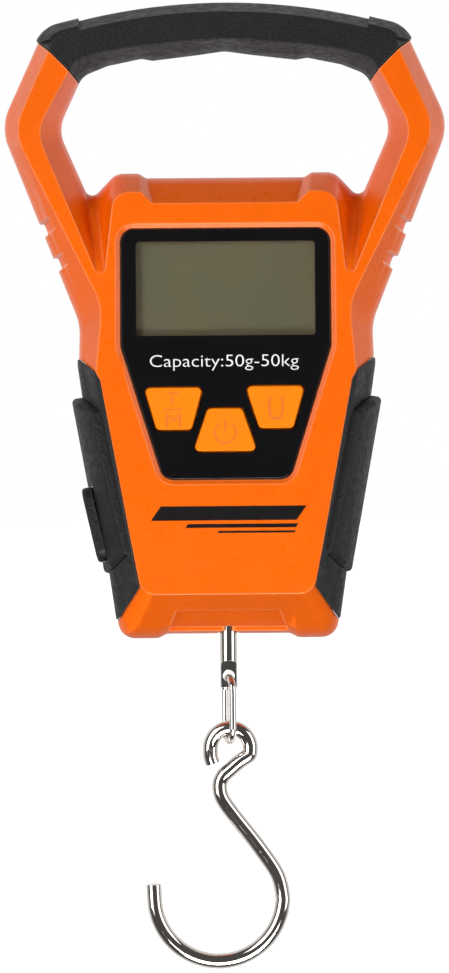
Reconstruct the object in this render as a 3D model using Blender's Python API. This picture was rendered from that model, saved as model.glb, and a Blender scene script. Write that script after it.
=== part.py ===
"""Digital fish scale: a D-handled casing in two shells, with a face panel and keys, a load cell
that carries a swivelling hanger, link and hook, a battery bay, and a tape measure in the left side.

Lengths in this file are millimetres. X is to the right, the display faces -Y, Z is up, and the
origin is the middle of the handle's grip bar on the plane where the two shells meet.
"""

import math

import bmesh
import bpy
from mathutils import Matrix, Vector

MM = 0.001
WELD = 0.002
GAP = 0.3
HALF_DEPTH = 14.0
CHAMFER = 0.9
LEVELS = ((0.15, 0.0), (6.5, 0.33), (HALF_DEPTH - CHAMFER, 1.0))
GRIP_SKIN = 1.8
WALL_AT_JOINT = 4.3
WALL_AT_FRONT = 3.5
CAVITY_DEPTH = 10.8

# Corners of the right half of the casing's outline where the shells meet, and of its flat face:
# (x, z, fillet radius, arc segments), from the crown down to the middle of the bottom edge.
OUTER_JOINT = (
    (0, 13.0, 178, 8), (52.2, 0.4, 9, 3), (65.0, -27.8, 14, 9), (42.4, -85.0, 16, 2),
    (42.8, -96.9, 10, 2), (31.3, -176.2, 5, 3), (20.3, -176.2, 3, 1), (17.7, -174.9, 2, 1),
)
OUTER_FACE = (
    (0, 8.6, 170, 8), (48.6, -3.3, 6, 3), (60.5, -30.3, 13, 9), (35.6, -80.2, 16, 2),
    (37.5, -99.9, 10, 2), (24.7, -163.3, 5, 3), (18.3, -163.3, 3, 1), (16.0, -163.3, 2, 1),
)
# The same for the hand opening, from the underside of the bar round to the sill of the body.
OPENING_JOINT = (
    (0, -5.8, 9, 2), (8.2, -7.1, 4, 1), (20.8, -8.6, 1.5, 1), (24.2, -7.9, 1.5, 1), (34.0, -10.0, 4, 1),
    (41.2, -13.0, 6, 3), (48.3, -28.5, 10, 3), (39.2, -49.4, 2.2, 2), (31.6, -41.4, 5, 2),
    (25.1, -41.4, 1.5, 1), (22.9, -42.8, 1, 1),
)
OPENING_FACE = (
    (0, -4.4, 9, 2), (8.2, -4.8, 4, 1), (20.8, -6.0, 1.5, 1), (24.2, -6.3, 1.5, 1), (34.0, -7.8, 4, 1),
    (42.6, -10.2, 6, 3), (53.5, -30.4, 10, 3), (35.1, -75.0, 1.4, 2), (31.9, -47.7, 5, 2),
    (24.0, -47.7, 1.5, 1), (20.7, -51.0, 1, 1),
)
# The hand opening without its finger ridges and sill step, for the hollow inside the shells.
HOLLOW_JOINT = (
    (0, -5.0, 90, 3), (41.2, -12.6, 7, 2), (48.3, -28.5, 10, 2), (39.2, -49.4, 2.2, 3),
    (31.6, -41.9, 5, 2),
)
HOLLOW_FACE = (
    (0, -3.4, 90, 3), (42.6, -10.2, 6, 2), (53.5, -30.4, 10, 2), (35.1, -75.0, 2.2, 3),
    (31.9, -49.4, 5, 2),
)
GRIP_END = 57.6
PAD_EDGE = ((42.3, -95.3), (52, -95.3), (44, -170.6), (31.7, -170.6), (25.2, -161.0),
            (36.1, -101.6), (37.8, -98.9))
RIB_JOINT = ((24, -103.7, 1.4, 1), (45.0, -106.7, 1.4, 1), (35.9, -156.9, 1.4, 1), (24, -159.9, 1.4, 1))
RIB_FACE = ((24, -109.0, 1.4, 1), (39.3, -111.0, 1.4, 1), (30.1, -151.0, 1.4, 1), (24, -153.0, 1.4, 1))
RIB_DEPTH = 12.4

LENS = ((29.9, -58.5, 4, 3), (30.0, -92.2, 5, 2), (18.1, -130.2, 4, 3))
LENS_FRONT = 13.4
POCKET_FLOOR = 12.0
WINDOW = (25.6, -62.2, -89.1)
KEYS = {
    "tare_key": ((-23.5, -103.9), (-6.6, -103.9), (-10.0, -116.1), (-20.0, -116.1)),
    "unit_key": ((5.5, -103.6), (22.5, -103.6), (19.1, -115.8), (9.4, -115.8)),
    "power_key": ((-5.3, -109.9), (4.5, -109.9), (8.8, -122.3), (-9.6, -122.3)),
}
KEY_CORNER = 1.2
KEY_FRONT = 14.5
KEY_TRAVEL = 0.7
KEY_FLANGE = 1.1
KEY_CLEARANCE = 0.4
DOME_TOP = 8.1
BOARD_FRONT, BOARD_BACK = 7.0, 5.4

HOUSING_SCREWS = ((56.6, -29.5), (32.0, -97.5), (21.4, -160.4))
POST_RADIUS = 3.3
POST_ENDS = (10.4, 11.9, 11.9)
BOARD_SCREWS = ((24.2, -98.4), (14.6, -125.5))
SCREW_SEAT = 4.7

DOOR_HALF_WIDTH, DOOR_TOP, DOOR_BOTTOM, DOOR_THICKNESS = 27.5, -59.5, -88.5, 1.6
CELL_RADIUS, CELL_LENGTH = 5.25, 43.3
CELL_AXES = (-68.2, -79.8)
CELL_DEPTH = 6.6

LOAD_CELL_HALF, LOAD_CELL_TOP, LOAD_CELL_BOTTOM = 8.0, -131.0, -167.0
LOAD_CELL_DEPTH = 5.0
ROD_RADIUS = 2.5
HANGER_HOLE_Z, HANGER_END_Z, FLAT_START_Z = -187.2, -190.5, -182.7
HANGER_HOLE_RADIUS = 1.9
LINK_TOP, LINK_BOTTOM, LINK_RADIUS, LINK_WIRE = -187.5, -206.2, 4.5, 1.0
LINK_TURN = math.radians(-14.5)
HOOK_WIRE = 2.25
EYE_CENTRE, EYE_RADIUS = (0.3, -208.2), 5.8
EYE_END, EYE_BEHIND = ((-4.9, 1.5, -212.6), (-5.45, 1.2, -210.6)), 0.9
SHANK = ((4.6, -211.0), (2.9, -212.1), (0.0, -214.6), (-1.8, -216.2), (-2.7, -217.9), (-2.85, -219.8),
         (-2.4, -222.1), (-0.9, -224.8), (2.4, -229.2), (6.9, -234.9), (11.1, -240.7), (13.2, -244.0),
         (14.4, -247.0))
BOWL_CENTRE, BOWL_RADIUS = (-3.4, -251.3), 18.6

TAPE_AXIS = (-18.2, -146.4)
TAPE_LEAN = math.radians(12.7)
TAPE_OUT = Vector((-math.cos(TAPE_LEAN), 0.0, -math.sin(TAPE_LEAN)))
TAPE_WIDTH = 6.0
COIL_INNER, COIL_OUTER = 4.2, 7.2
TAPE_CENTRE = Vector((TAPE_AXIS[0], 0, TAPE_AXIS[1]))
TAPE_START = TAPE_CENTRE + Vector((TAPE_OUT.z, 0, -TAPE_OUT.x)) * (COIL_OUTER + 0.45)
TAB_CENTRE = TAPE_START + TAPE_OUT * 18.9
TAB_LENGTH, TAB_WIDTH, TAB_THICKNESS = 22.0, 11.0, 3.2


# ---------------------------------------------------------------- outlines

def mirrored(half):
    """The whole outline from its right half; a corner on the centreline is used once."""
    left = [(-x, z, radius, steps) for x, z, radius, steps in reversed(half) if x > 0]
    return list(half) + left


def both_sides(half):
    """The whole outline from a right half that has no corner on the centreline."""
    return [(x, z, r, n) for x, z, r, n in half] + [(-x, z, r, n) for x, z, r, n in reversed(half)]


def moved(corners, distance):
    """A clockwise outline with every edge moved inwards by a distance, or outwards if negative."""
    result = []
    for index, (x, z, radius, steps) in enumerate(corners):
        here = Vector((x, z))
        before = (here - Vector(corners[index - 1][:2])).normalized()
        after = (Vector(corners[(index + 1) % len(corners)][:2]) - here).normalized()
        normal_before = Vector((before.y, -before.x))
        normal_after = Vector((after.y, -after.x))
        corner = here + (normal_before + normal_after) * distance / (1 + normal_before.dot(normal_after))
        turns_right = before.x * after.y - before.y * after.x < 0
        new_radius = radius - distance if turns_right else radius + distance
        result.append((corner.x, corner.y, max(new_radius, 0.3), steps))
    return result


def rounded(corners):
    """The points of an outline, with each corner replaced by its fillet's arc."""
    points = []
    for index, (x, z, radius, steps) in enumerate(corners):
        here = Vector((x, z))
        to_before = (Vector(corners[index - 1][:2]) - here).normalized()
        to_after = (Vector(corners[(index + 1) % len(corners)][:2]) - here).normalized()
        half_angle = to_before.angle(to_after) / 2
        centre = here + (to_before + to_after).normalized() * (radius / math.sin(half_angle))
        start = here + to_before * (radius / math.tan(half_angle)) - centre
        end = here + to_after * (radius / math.tan(half_angle)) - centre
        turn = math.atan2(start.x * end.y - start.y * end.x, start.dot(end))
        for step in range(steps + 1):
            points.append(centre + Matrix.Rotation(turn * step / steps, 2) @ start)
    return [(point.x, point.y) for point in points]


def between(first, second, share):
    """Corners part of the way from one outline to another with the same corners."""
    return [
        tuple(a + (b - a) * share for a, b in zip(one[:3], two[:3])) + (one[3],)
        for one, two in zip(first, second)
    ]


# ---------------------------------------------------------------- solids

def new_object(name, mesh, collection):
    thing = bpy.data.objects.new(name, mesh)
    collection.objects.link(thing)
    return thing


def lofted(name, levels, collection):
    """A solid through one outline at several depths: levels are (y, loop of x, z points)."""
    build = bmesh.new()
    rows = [[build.verts.new((x * MM, y * MM, z * MM)) for x, z in loop] for y, loop in levels]
    for near, far in zip(rows, rows[1:]):
        for i in range(len(near)):
            build.faces.new((near[i - 1], near[i], far[i], far[i - 1]))
    build.faces.new(rows[0])
    build.faces.new(rows[-1])
    bmesh.ops.recalc_face_normals(build, faces=build.faces)
    bmesh.ops.triangulate(build, faces=build.faces)
    mesh = bpy.data.meshes.new(name)
    build.to_mesh(mesh)
    build.free()
    return new_object(name, mesh, collection)


def prism(name, outline, y_from, y_to, collection):
    """A flat outline of (x, z) points carried from one depth to another."""
    return lofted(name, ((y_from, outline), (y_to, outline)), collection)


def box(name, low, high, collection):
    outline = ((low[0], low[2]), (low[0], high[2]), (high[0], high[2]), (high[0], low[2]))
    return prism(name, outline, low[1], high[1], collection)


def slanted_box(name, centre, size, lean, collection):
    """A box turned about Y by lean, with its own sides along x, y and z before the turn."""
    block = box(name, [-s / 2 for s in size], [s / 2 for s in size], collection)
    turn = Matrix.Rotation(lean, 4, "Y")
    block.data.transform(Matrix.Translation(Vector(centre) * MM) @ turn)
    return block


def cylinder(name, centre, radius, length, axis, collection, sides=16, end_radius=None):
    """A cylinder, or a cone, centred on a point and lying along an axis."""
    build = bmesh.new()
    bmesh.ops.create_cone(
        build, cap_ends=True, segments=sides, radius1=radius * MM,
        radius2=(radius if end_radius is None else end_radius) * MM, depth=length * MM,
    )
    turn = Vector((0, 0, 1)).rotation_difference(Vector(axis)).to_matrix().to_4x4()
    bmesh.ops.transform(build, verts=build.verts, matrix=Matrix.Translation(Vector(centre) * MM) @ turn)
    mesh = bpy.data.meshes.new(name)
    build.to_mesh(mesh)
    build.free()
    return new_object(name, mesh, collection)


def tube(name, points, radius, collection, closed=False, sides=2):
    """A round wire along a path of points."""
    path = bpy.data.curves.new(name, "CURVE")
    path.dimensions = "3D"
    path.bevel_depth = radius * MM
    path.bevel_resolution = sides
    path.use_fill_caps = True
    spline = path.splines.new("POLY")
    spline.points.add(len(points) - 1)
    for place, point in zip(spline.points, points):
        place.co = (*(Vector(point) * MM), 1)
    spline.use_cyclic_u = closed
    wire = new_object(name + "_path", path, collection)
    bpy.context.view_layer.update()
    mesh = bpy.data.meshes.new_from_object(wire.evaluated_get(bpy.context.evaluated_depsgraph_get()))
    bpy.data.objects.remove(wire)
    build = bmesh.new()
    build.from_mesh(mesh)
    bmesh.ops.remove_doubles(build, verts=build.verts, dist=1e-6)
    bmesh.ops.recalc_face_normals(build, faces=build.faces)
    build.to_mesh(mesh)
    build.free()
    return new_object(name, mesh, collection)


def combine(target, tool, operation, keep_tool=False):
    """Applies one Boolean to the target at once, and drops the tool unless it's kept."""
    step = target.modifiers.new("combine", "BOOLEAN")
    step.object = tool
    step.operation = operation
    step.solver = "EXACT"
    bpy.context.view_layer.update()
    graph = bpy.context.evaluated_depsgraph_get()
    mesh = bpy.data.meshes.new_from_object(target.evaluated_get(graph))
    target.modifiers.remove(step)
    build = bmesh.new()
    build.from_mesh(mesh)
    bmesh.ops.remove_doubles(build, verts=build.verts, dist=WELD * MM)
    bmesh.ops.dissolve_degenerate(build, edges=build.edges, dist=WELD * MM)
    bmesh.ops.triangulate(build, faces=build.faces)
    build.to_mesh(mesh)
    build.free()
    target.data = mesh
    if not keep_tool:
        bpy.data.objects.remove(tool)
    return target


def casing(name, side, inset, parts, tools, opening=True, y_reach=None):
    """Half of the casing's outer form, on the side -1 (display) or 1 (back), inset all round.

    y_reach carries it that far past the plane where the shells meet.
    """
    start = 0.15 if y_reach is None else -y_reach
    outer, inner = [], []
    for y, share in LEVELS:
        depth = start if share == 0 else y - inset
        outer_corners = mirrored(between(OUTER_JOINT, OUTER_FACE, share))
        inner_corners = mirrored(between(OPENING_JOINT, OPENING_FACE, share))
        outer.append((side * depth, rounded(moved(outer_corners, inset))))
        inner.append((side * (depth - (share == 0)), rounded(moved(inner_corners, -inset))))
    face = HALF_DEPTH - inset
    outer.append((side * face, rounded(moved(mirrored(OUTER_FACE), inset + CHAMFER))))
    beyond = 0.5
    last = moved(mirrored(OPENING_FACE), -inset - CHAMFER - beyond)
    inner.append((side * (face + beyond), rounded(last)))
    form = lofted(name, outer, parts)
    if opening:
        combine(form, lofted("opening", inner, tools), "DIFFERENCE")
    return form


def cavity(name, side, tools):
    """The hollow inside a shell, open towards the other shell."""
    shares = ((-1.0, 0.0, WALL_AT_JOINT), (CAVITY_DEPTH, CAVITY_DEPTH / HALF_DEPTH, WALL_AT_FRONT))
    outer, inner = [], []
    for y, share, wall in shares:
        outer_corners = mirrored(between(OUTER_JOINT[:-1], OUTER_FACE[:-1], share))
        inner_corners = mirrored(between(HOLLOW_JOINT, HOLLOW_FACE, share))
        outer.append((side * y, rounded(moved(outer_corners, wall))))
        inner.append((side * (y + math.copysign(0.01, y)), rounded(moved(inner_corners, -wall))))
    return combine(lofted(name, outer, tools), lofted("core", inner, tools), "DIFFERENCE")


# ---------------------------------------------------------------- casing

def grip_bar_zone(name, margin, collection):
    """Everything above the two slanted cuts that end the soft grip on the handle's bar."""
    low, high = -18.0, 20.0
    reach = GRIP_END - margin
    outline = ((-reach - low, low), (-reach - high, high), (reach + high, high), (reach + low, low))
    return prism(name, outline, -20, 20, collection)


def pad_zone(name, sign, margin, collection):
    """The prism over one side of the body that the soft side grip fills."""
    corners = [(x, z, 0.3, 1) for x, z in PAD_EDGE]
    outline = [(sign * x, z) for x, z in rounded(moved(corners, margin))]
    return prism(name, outline, -20, 20, collection)


def notches(sign, tools):
    """The two small notches in a handle column's outer side."""
    lean = math.atan2(65.0 - 42.4, 85.0 - 27.8)
    for z in (-57.7, -67.6):
        x = 65.0 - (-27.8 - z) * math.tan(lean) + 1.6
        yield slanted_box("notch", (sign * x, 0, z), (5.0, 40, 4.2), sign * lean, tools)


def shell(name, side, parts, tools):
    """One shell: walls, seats for the soft grips, screw bosses and the ways out for rod and tape."""
    body = casing(name, side, 0, parts, tools)
    combine(body, cavity("hollow", side, tools), "DIFFERENCE")
    seat = casing("seat", side, GRIP_SKIN, tools, tools, y_reach=2)
    for zone in (
        grip_bar_zone("zone", 0, tools), pad_zone("zone", 1, 0, tools), pad_zone("zone", -1, 0, tools),
    ):
        combine(zone, seat, "DIFFERENCE", keep_tool=True)
        combine(body, zone, "DIFFERENCE")
    bpy.data.objects.remove(seat)
    for sign in (1, -1):
        for notch in notches(sign, tools):
            combine(body, notch, "DIFFERENCE")
        for (x, z), end in zip(HOUSING_SCREWS, POST_ENDS):
            middle = (sign * x, side * (GAP + end) / 2, z)
            combine(body, cylinder("post", middle, POST_RADIUS, end - GAP, (0, 1, 0), tools), "UNION")
    rod_way = cylinder("rod_way", (0, 0, -170), ROD_RADIUS + 0.7, 30, (0, 0, 1), tools)
    combine(body, rod_way, "DIFFERENCE")
    way_size = (18, TAPE_WIDTH + 1.6, 1.6)
    way = slanted_box("tape_way", TAB_CENTRE - TAPE_OUT * 8, way_size, -TAPE_LEAN, tools)
    combine(body, way, "DIFFERENCE")
    return body


def chin_recess(side, tools):
    """The shallow trapezoid let into the slope under the body's face."""
    outline = ((-18.9, -178), (-14.9, -167.8), (14.9, -167.8), (18.9, -178))
    recess = prism("recess", outline, side * 3, side * 20, tools)
    return combine(recess, casing("under", side, 0.8, tools, tools, y_reach=2), "DIFFERENCE")


def front_shell(parts, tools):
    """The display side: pocket for the panel, window, key holes and posts for the circuit board."""
    body = shell("front_shell", -1, parts, tools)
    combine(body, chin_recess(-1, tools), "DIFFERENCE")
    pocket = rounded(moved(both_sides(LENS), -GAP))
    combine(body, prism("pocket", pocket, -20, -POCKET_FLOOR, tools), "DIFFERENCE")
    half, top, bottom = WINDOW
    combine(body, box("window", (-half, -14, bottom), (half, -8, top), tools), "DIFFERENCE")
    for corners in KEYS.values():
        combine(body, prism("key_way", key_outline(corners, KEY_CLEARANCE), -14, -8, tools), "DIFFERENCE")
    for sign in (1, -1):
        for x, z in HOUSING_SCREWS:
            hole = cylinder("pilot", (sign * x, -4, z), 1.45, 10, (0, 1, 0), tools, sides=12)
            combine(body, hole, "DIFFERENCE")
        for x, z in BOARD_SCREWS:
            depth = CAVITY_DEPTH + 0.6 - BOARD_FRONT - GAP
            middle = (sign * x, -BOARD_FRONT - GAP - depth / 2, z)
            post = cylinder("post", middle, 1.9, depth, (0, 1, 0), tools, 12)
            combine(body, post, "UNION")
            hole = cylinder("pilot", (sign * x, -BOARD_FRONT - 1.9, z), 1.05, 4, (0, 1, 0), tools, 8)
            combine(body, hole, "DIFFERENCE")
    return body


def rear_shell(parts, tools):
    """The back: battery tray and doorway, screw counterbores and the block behind the load cell."""
    body = shell("rear_shell", 1, parts, tools)
    combine(body, chin_recess(1, tools), "DIFFERENCE")
    half, wall = DOOR_HALF_WIDTH - 0.5, 1.3
    tray = box("tray", (-half, -0.6, -87.0), (half, 12, -61.0), tools)
    combine(body, tray, "UNION")
    bay = box("bay", (-half + wall, 0.6, -87.0 + wall), (half - wall, 20, -61.0 - wall), tools)
    combine(body, bay, "DIFFERENCE")
    doorway = box(
        "doorway", (-DOOR_HALF_WIDTH - GAP, HALF_DEPTH - DOOR_THICKNESS - GAP, DOOR_BOTTOM - GAP),
        (DOOR_HALF_WIDTH + GAP, 20, DOOR_TOP + GAP), tools,
    )
    combine(body, doorway, "DIFFERENCE")
    block = box("block", (-8, LOAD_CELL_DEPTH + GAP, -139), (8, 12, -131), tools)
    combine(body, block, "UNION")
    for sign in (1, -1):
        for x, z in HOUSING_SCREWS:
            wide = cylinder("wide", (sign * x, SCREW_SEAT + 8, z), 2.6, 16, (0, 1, 0), tools)
            combine(body, wide, "DIFFERENCE")
            narrow = cylinder("narrow", (sign * x, 3, z), 1.45, 8, (0, 1, 0), tools, 12)
            combine(body, narrow, "DIFFERENCE")
        hole = cylinder("pilot", (sign * 4.8, 7, -135), 1.55, 7, (0, 1, 0), tools, 12)
        combine(body, hole, "DIFFERENCE")
    return body


def handle_grip(name, side, parts, tools):
    """Half of the soft sleeve on the handle's bar."""
    grip = casing(name, side, 0, parts, tools)
    combine(grip, grip_bar_zone("zone", GAP * 1.5, tools), "INTERSECT")
    return combine(grip, casing("core", side, GRIP_SKIN - GAP, tools, tools, y_reach=2), "DIFFERENCE")


def side_grip(name, sign, side, parts, tools):
    """Half of a soft side grip, with its raised rib, and on the left the pocket for the tape's tab."""
    grip = casing(name, side, -0.4, parts, tools, opening=False)
    levels = ((0.55, 0.0), (RIB_DEPTH * 0.5, 0.3), (RIB_DEPTH, 1.0))
    rib_levels = []
    for y, share in levels:
        corners = between(RIB_JOINT, RIB_FACE, share)
        rib_levels.append((side * y, [(sign * x, z) for x, z in rounded(corners)]))
    rib = lofted("rib", rib_levels, tools)
    combine(grip, rib, "UNION")
    combine(grip, pad_zone("zone", sign, GAP, tools), "INTERSECT")
    core = casing("core", side, GRIP_SKIN - GAP, tools, tools, opening=False, y_reach=2)
    combine(grip, core, "DIFFERENCE")
    if sign < 0:
        centre = TAB_CENTRE + TAPE_OUT * 3
        size = (TAB_THICKNESS + 6.6, TAB_WIDTH + 0.8, TAB_LENGTH + 0.8)
        combine(grip, slanted_box("tab_seat", centre, size, -TAPE_LEAN, tools), "DIFFERENCE")
        way_size = (16, TAPE_WIDTH + 1.6, 1.6)
        way = slanted_box("tape_way", TAB_CENTRE - TAPE_OUT * 6, way_size, -TAPE_LEAN, tools)
        combine(grip, way, "DIFFERENCE")
    return grip


# ---------------------------------------------------------------- display and keys

def key_outline(corners, margin):
    return rounded(moved([(x, z, KEY_CORNER, 2) for x, z in corners], -margin))


def face_lens(parts, tools):
    """The clear panel over the window, with a hole for each key."""
    lens = prism("face_lens", rounded(both_sides(LENS)), -LENS_FRONT, -POCKET_FLOOR - GAP, parts)
    for corners in KEYS.values():
        combine(lens, prism("key_way", key_outline(corners, KEY_CLEARANCE), -16, -10, tools), "DIFFERENCE")
    return lens


def display(parts, tools):
    """The liquid-crystal cell, the frame that holds it and the two strips that connect it."""
    half, top, bottom = WINDOW[0] + 0.7, WINDOW[1] + 2.2, WINDOW[2] - 2.2
    front = CAVITY_DEPTH - GAP
    box("lcd_glass", (-half, -front, bottom), (half, -front + 1.7, top), parts)
    rim, back = 1.5, -BOARD_FRONT - GAP
    frame = box("lcd_frame", (-half - rim, -front, bottom - rim), (half + rim, back, top + rim), parts)
    inside = box("inside", (-half - GAP, -14, bottom - GAP), (half + GAP, -5, top + GAP), tools)
    combine(frame, inside, "DIFFERENCE")
    for name, z in (("zebra_strip_upper", top - 1.4), ("zebra_strip_lower", bottom + 1.4)):
        box(name, (-half + 1, -front + 1.7 + GAP, z - 1), (half - 1, back, z + 1), parts)


def circuit_board(parts, tools):
    """The board behind the display, its two chips and its screws."""
    outline = ((-26.4, -56), (26.4, -56), (26.4, -101), (17.6, -128), (-17.6, -128), (-26.4, -101))
    board = prism("circuit_board", outline, -BOARD_FRONT, -BOARD_BACK, parts)
    for sign in (1, -1):
        for x, z in BOARD_SCREWS:
            combine(board, cylinder("hole", (sign * x, -6, z), 1.2, 6, (0, 1, 0), tools, 8), "DIFFERENCE")
    box("controller_chip", (-6, -BOARD_BACK + GAP, -107), (6, -BOARD_BACK + 1.5, -95), parts)
    box("converter_chip", (-3, -BOARD_BACK + GAP, -119), (3, -BOARD_BACK + 1.4, -115), parts)
    places = (("upper", BOARD_SCREWS[0]), ("lower", BOARD_SCREWS[1]))
    for row, (x, z) in places:
        for hand, sign in (("right", 1), ("left", -1)):
            name = f"board_screw_{row}_{hand}"
            screw = cylinder(name, (sign * x, -BOARD_BACK + GAP + 0.5, z), 1.7, 1.0, (0, 1, 0), parts, 12)
            shank = cylinder("shank", (sign * x, -BOARD_BACK - 1.4, z), 0.8, 4.2, (0, 1, 0), tools, 8)
            combine(screw, shank, "UNION")


def keys(parts, tools):
    """The three keys, the mat around their feet and the switch domes under them."""
    front = CAVITY_DEPTH - GAP
    half_mat = ((27, -101), (27, -104), (21.5, -120.5), (12.3, -122.0), (11.8, -125.4))
    mat_outline = half_mat + tuple((-x, z) for x, z in reversed(half_mat))
    mat = prism("keypad_mat", mat_outline, -front, -front + 0.8, parts)
    for name, corners in KEYS.items():
        key = prism(name, key_outline(corners, 0), -KEY_FRONT, -front + 0.4, parts)
        foot = prism("foot", key_outline(corners, KEY_FLANGE), -front, -front + 0.9, tools)
        combine(key, foot, "UNION")
        middle_x = sum(x for x, _ in corners) / 4
        middle_z = sum(z for _, z in corners) / 4
        stem_end = DOME_TOP + KEY_TRAVEL + 0.1
        stem_centre = (middle_x, -(front + stem_end) / 2, middle_z)
        combine(key, cylinder("stem", stem_centre, 1.5, front - stem_end, (0, 1, 0), tools, 12), "UNION")
        mat_way = key_outline(corners, KEY_FLANGE + KEY_CLEARANCE)
        combine(mat, prism("way", mat_way, -14, -5, tools), "DIFFERENCE")
        dome_centre = (middle_x, -(DOME_TOP + BOARD_FRONT + GAP) / 2, middle_z)
        height = DOME_TOP - BOARD_FRONT - GAP
        dome = name.replace("key", "dome")
        cylinder(dome, dome_centre, 2.0, height, (0, 1, 0), parts, 16, end_radius=3.0)


# ---------------------------------------------------------------- weighing gear

def load_cell(parts, tools):
    """A steel frame that stretches under load: bolted at its top leg, pulled at its bottom leg."""
    half, deep = LOAD_CELL_HALF, LOAD_CELL_DEPTH
    cell = box("load_cell", (-half, -deep, LOAD_CELL_BOTTOM), (half, deep, LOAD_CELL_TOP), parts)
    combine(cell, box("inside", (-4.9, -9, -159), (4.9, 9, -139), tools), "DIFFERENCE")
    combine(cell, cylinder("rod_way", (0, 0, -163), ROD_RADIUS + 0.4, 12, (0, 0, 1), tools), "DIFFERENCE")
    for hand, sign in (("right", 1), ("left", -1)):
        combine(cell, cylinder("hole", (sign * 4.8, 0, -135), 1.8, 20, (0, 1, 0), tools, 12), "DIFFERENCE")
        bolt = cylinder(f"load_cell_bolt_{hand}", (sign * 4.8, -6.3, -135), 2.8, 2.0, (0, 1, 0), parts, 16)
        shank = cylinder("shank", (sign * 4.8, 1.5, -135), 1.2, 14.4, (0, 1, 0), tools, 12)
        combine(bolt, shank, "UNION")
    foil, window = 0.2, 4.9
    outside, inside = half + GAP, window - GAP - foil
    for name, x, middle in (("strain_gauge_right", outside, -149), ("strain_gauge_inner", inside, -147)):
        box(name, (x, -2.5, middle - 3), (x + foil, 2.5, middle + 3), parts)


def hanger(parts, tools):
    """The swivelling rod with its flattened, drilled end, and the nut and washer that carry it."""
    top = -152.5
    middle = (0, 0, (top + HANGER_END_Z) / 2)
    rod = cylinder("hanger", middle, ROD_RADIUS, top - HANGER_END_Z, (0, 0, 1), parts)
    for sign in (1, -1):
        low, high = sorted((sign * 1.1, sign * 5))
        flat = box("flat", (-5, low, HANGER_END_Z - 3), (5, high, FLAT_START_Z), tools)
        combine(rod, flat, "DIFFERENCE")
    hole = cylinder("hole", (0, 0, HANGER_HOLE_Z), HANGER_HOLE_RADIUS, 8, (0, 1, 0), tools)
    combine(rod, hole, "DIFFERENCE")
    washer = cylinder("thrust_washer", (0, 0, -158.2), 4.4, 1.0, (0, 0, 1), parts, 20)
    combine(washer, cylinder("hole", (0, 0, -158.2), ROD_RADIUS + GAP, 5, (0, 0, 1), tools), "DIFFERENCE")
    nut = cylinder("hanger_nut", (0, 0, -155.4), 4.3, 4.0, (0, 0, 1), parts, 6)
    combine(nut, cylinder("hole", (0, 0, -155.4), ROD_RADIUS + GAP, 9, (0, 0, 1), tools), "DIFFERENCE")


def arc(centre, radius, start, end, steps):
    """Points (x, z) on an arc; angles in degrees from +X towards +Z."""
    for step in range(steps + 1):
        angle = math.radians(start + (end - start) * step / steps)
        yield centre[0] + radius * math.cos(angle), centre[1] + radius * math.sin(angle)


def smooth_path(points, spans=2):
    """A finer path through the same points, curved by Catmull and Rom's rule."""
    points = [Vector(point) for point in points]
    result = []
    for index in range(len(points) - 1):
        before, after = points[max(index - 1, 0)], points[min(index + 2, len(points) - 1)]
        start, end = points[index], points[index + 1]
        for step in range(spans):
            t = step / spans
            square = (2 * before - 5 * start + 4 * end - after) * t ** 2
            cube = (3 * start - 3 * end + after - before) * t ** 3
            result.append((2 * start + (end - before) * t + square + cube) / 2)
    return result + [points[-1]]


def connecting_link(parts):
    """The oval ring between hanger and hook."""
    upper = list(arc((0, LINK_TOP - LINK_RADIUS), LINK_RADIUS, 0, 180, 8))
    lower = list(arc((0, LINK_BOTTOM + LINK_RADIUS), LINK_RADIUS, 180, 360, 8))
    across = Vector((math.sin(LINK_TURN), math.cos(LINK_TURN), 0))
    points = [across * y + Vector((0, 0, z)) for y, z in upper + lower]
    tube("connecting_link", points, LINK_WIRE, parts, closed=True)


def hook(parts):
    """One bent wire: an eye that starts behind the neck, a slanting shank, a round bowl and its tip."""
    eye = []
    for index, (x, z) in enumerate(arc(EYE_CENTRE, EYE_RADIUS, 180, -20, 20)):
        eye.append((x, EYE_BEHIND * max(0, 1 - index / 9), z))
    bowl = list(arc(BOWL_CENTRE, BOWL_RADIUS, 0, -180, 20))
    tip = [(BOWL_CENTRE[0] - BOWL_RADIUS - 0.2, BOWL_CENTRE[1] + 3.9)]
    rest = [(x, 0, z) for x, z in list(SHANK) + bowl + tip]
    tube("hook", smooth_path(list(EYE_END) + eye + rest), HOOK_WIRE, parts)


# ---------------------------------------------------------------- battery bay

def battery_bay(parts, tools):
    """Two cells, the springs and plates that join them, their leads and the door behind them."""
    for name, z, sign in (("battery_upper", CELL_AXES[0], 1), ("battery_lower", CELL_AXES[1], -1)):
        cell = cylinder(name, (-sign * 0.9, CELL_DEPTH, z), CELL_RADIUS, CELL_LENGTH, (1, 0, 0), parts, 20)
        tip_centre = (sign * (CELL_LENGTH / 2 - 0.4), CELL_DEPTH, z)
        tip = cylinder("tip", tip_centre, 1.9, 1.2, (1, 0, 0), tools, 12)
        combine(cell, tip, "UNION")
        spring_name = name.replace("battery", "battery_spring")
        battery_spring(spring_name, -sign, z, parts)
    box("battery_plate_left", (-25.4, 2.4, -85.4), (-25.0, 11.0, -62.6), parts)
    box("battery_plate_right", (25.0, 2.4, -85.4), (25.4, 11.0, -62.6), parts)
    door_low = (-DOOR_HALF_WIDTH, HALF_DEPTH - DOOR_THICKNESS, DOOR_BOTTOM)
    box("battery_door", door_low, (DOOR_HALF_WIDTH, HALF_DEPTH, DOOR_TOP), parts)
    for name, x in (("battery_lead_positive", 22.0), ("battery_lead_negative", -22.0)):
        route = ((x, -1.3, -80), (x, -1.7, -88), (x * 0.95, -3.2, -92.5), (x * 0.9, -4.4, -94))
        tube(name, route, 0.5, parts, sides=1)


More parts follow.
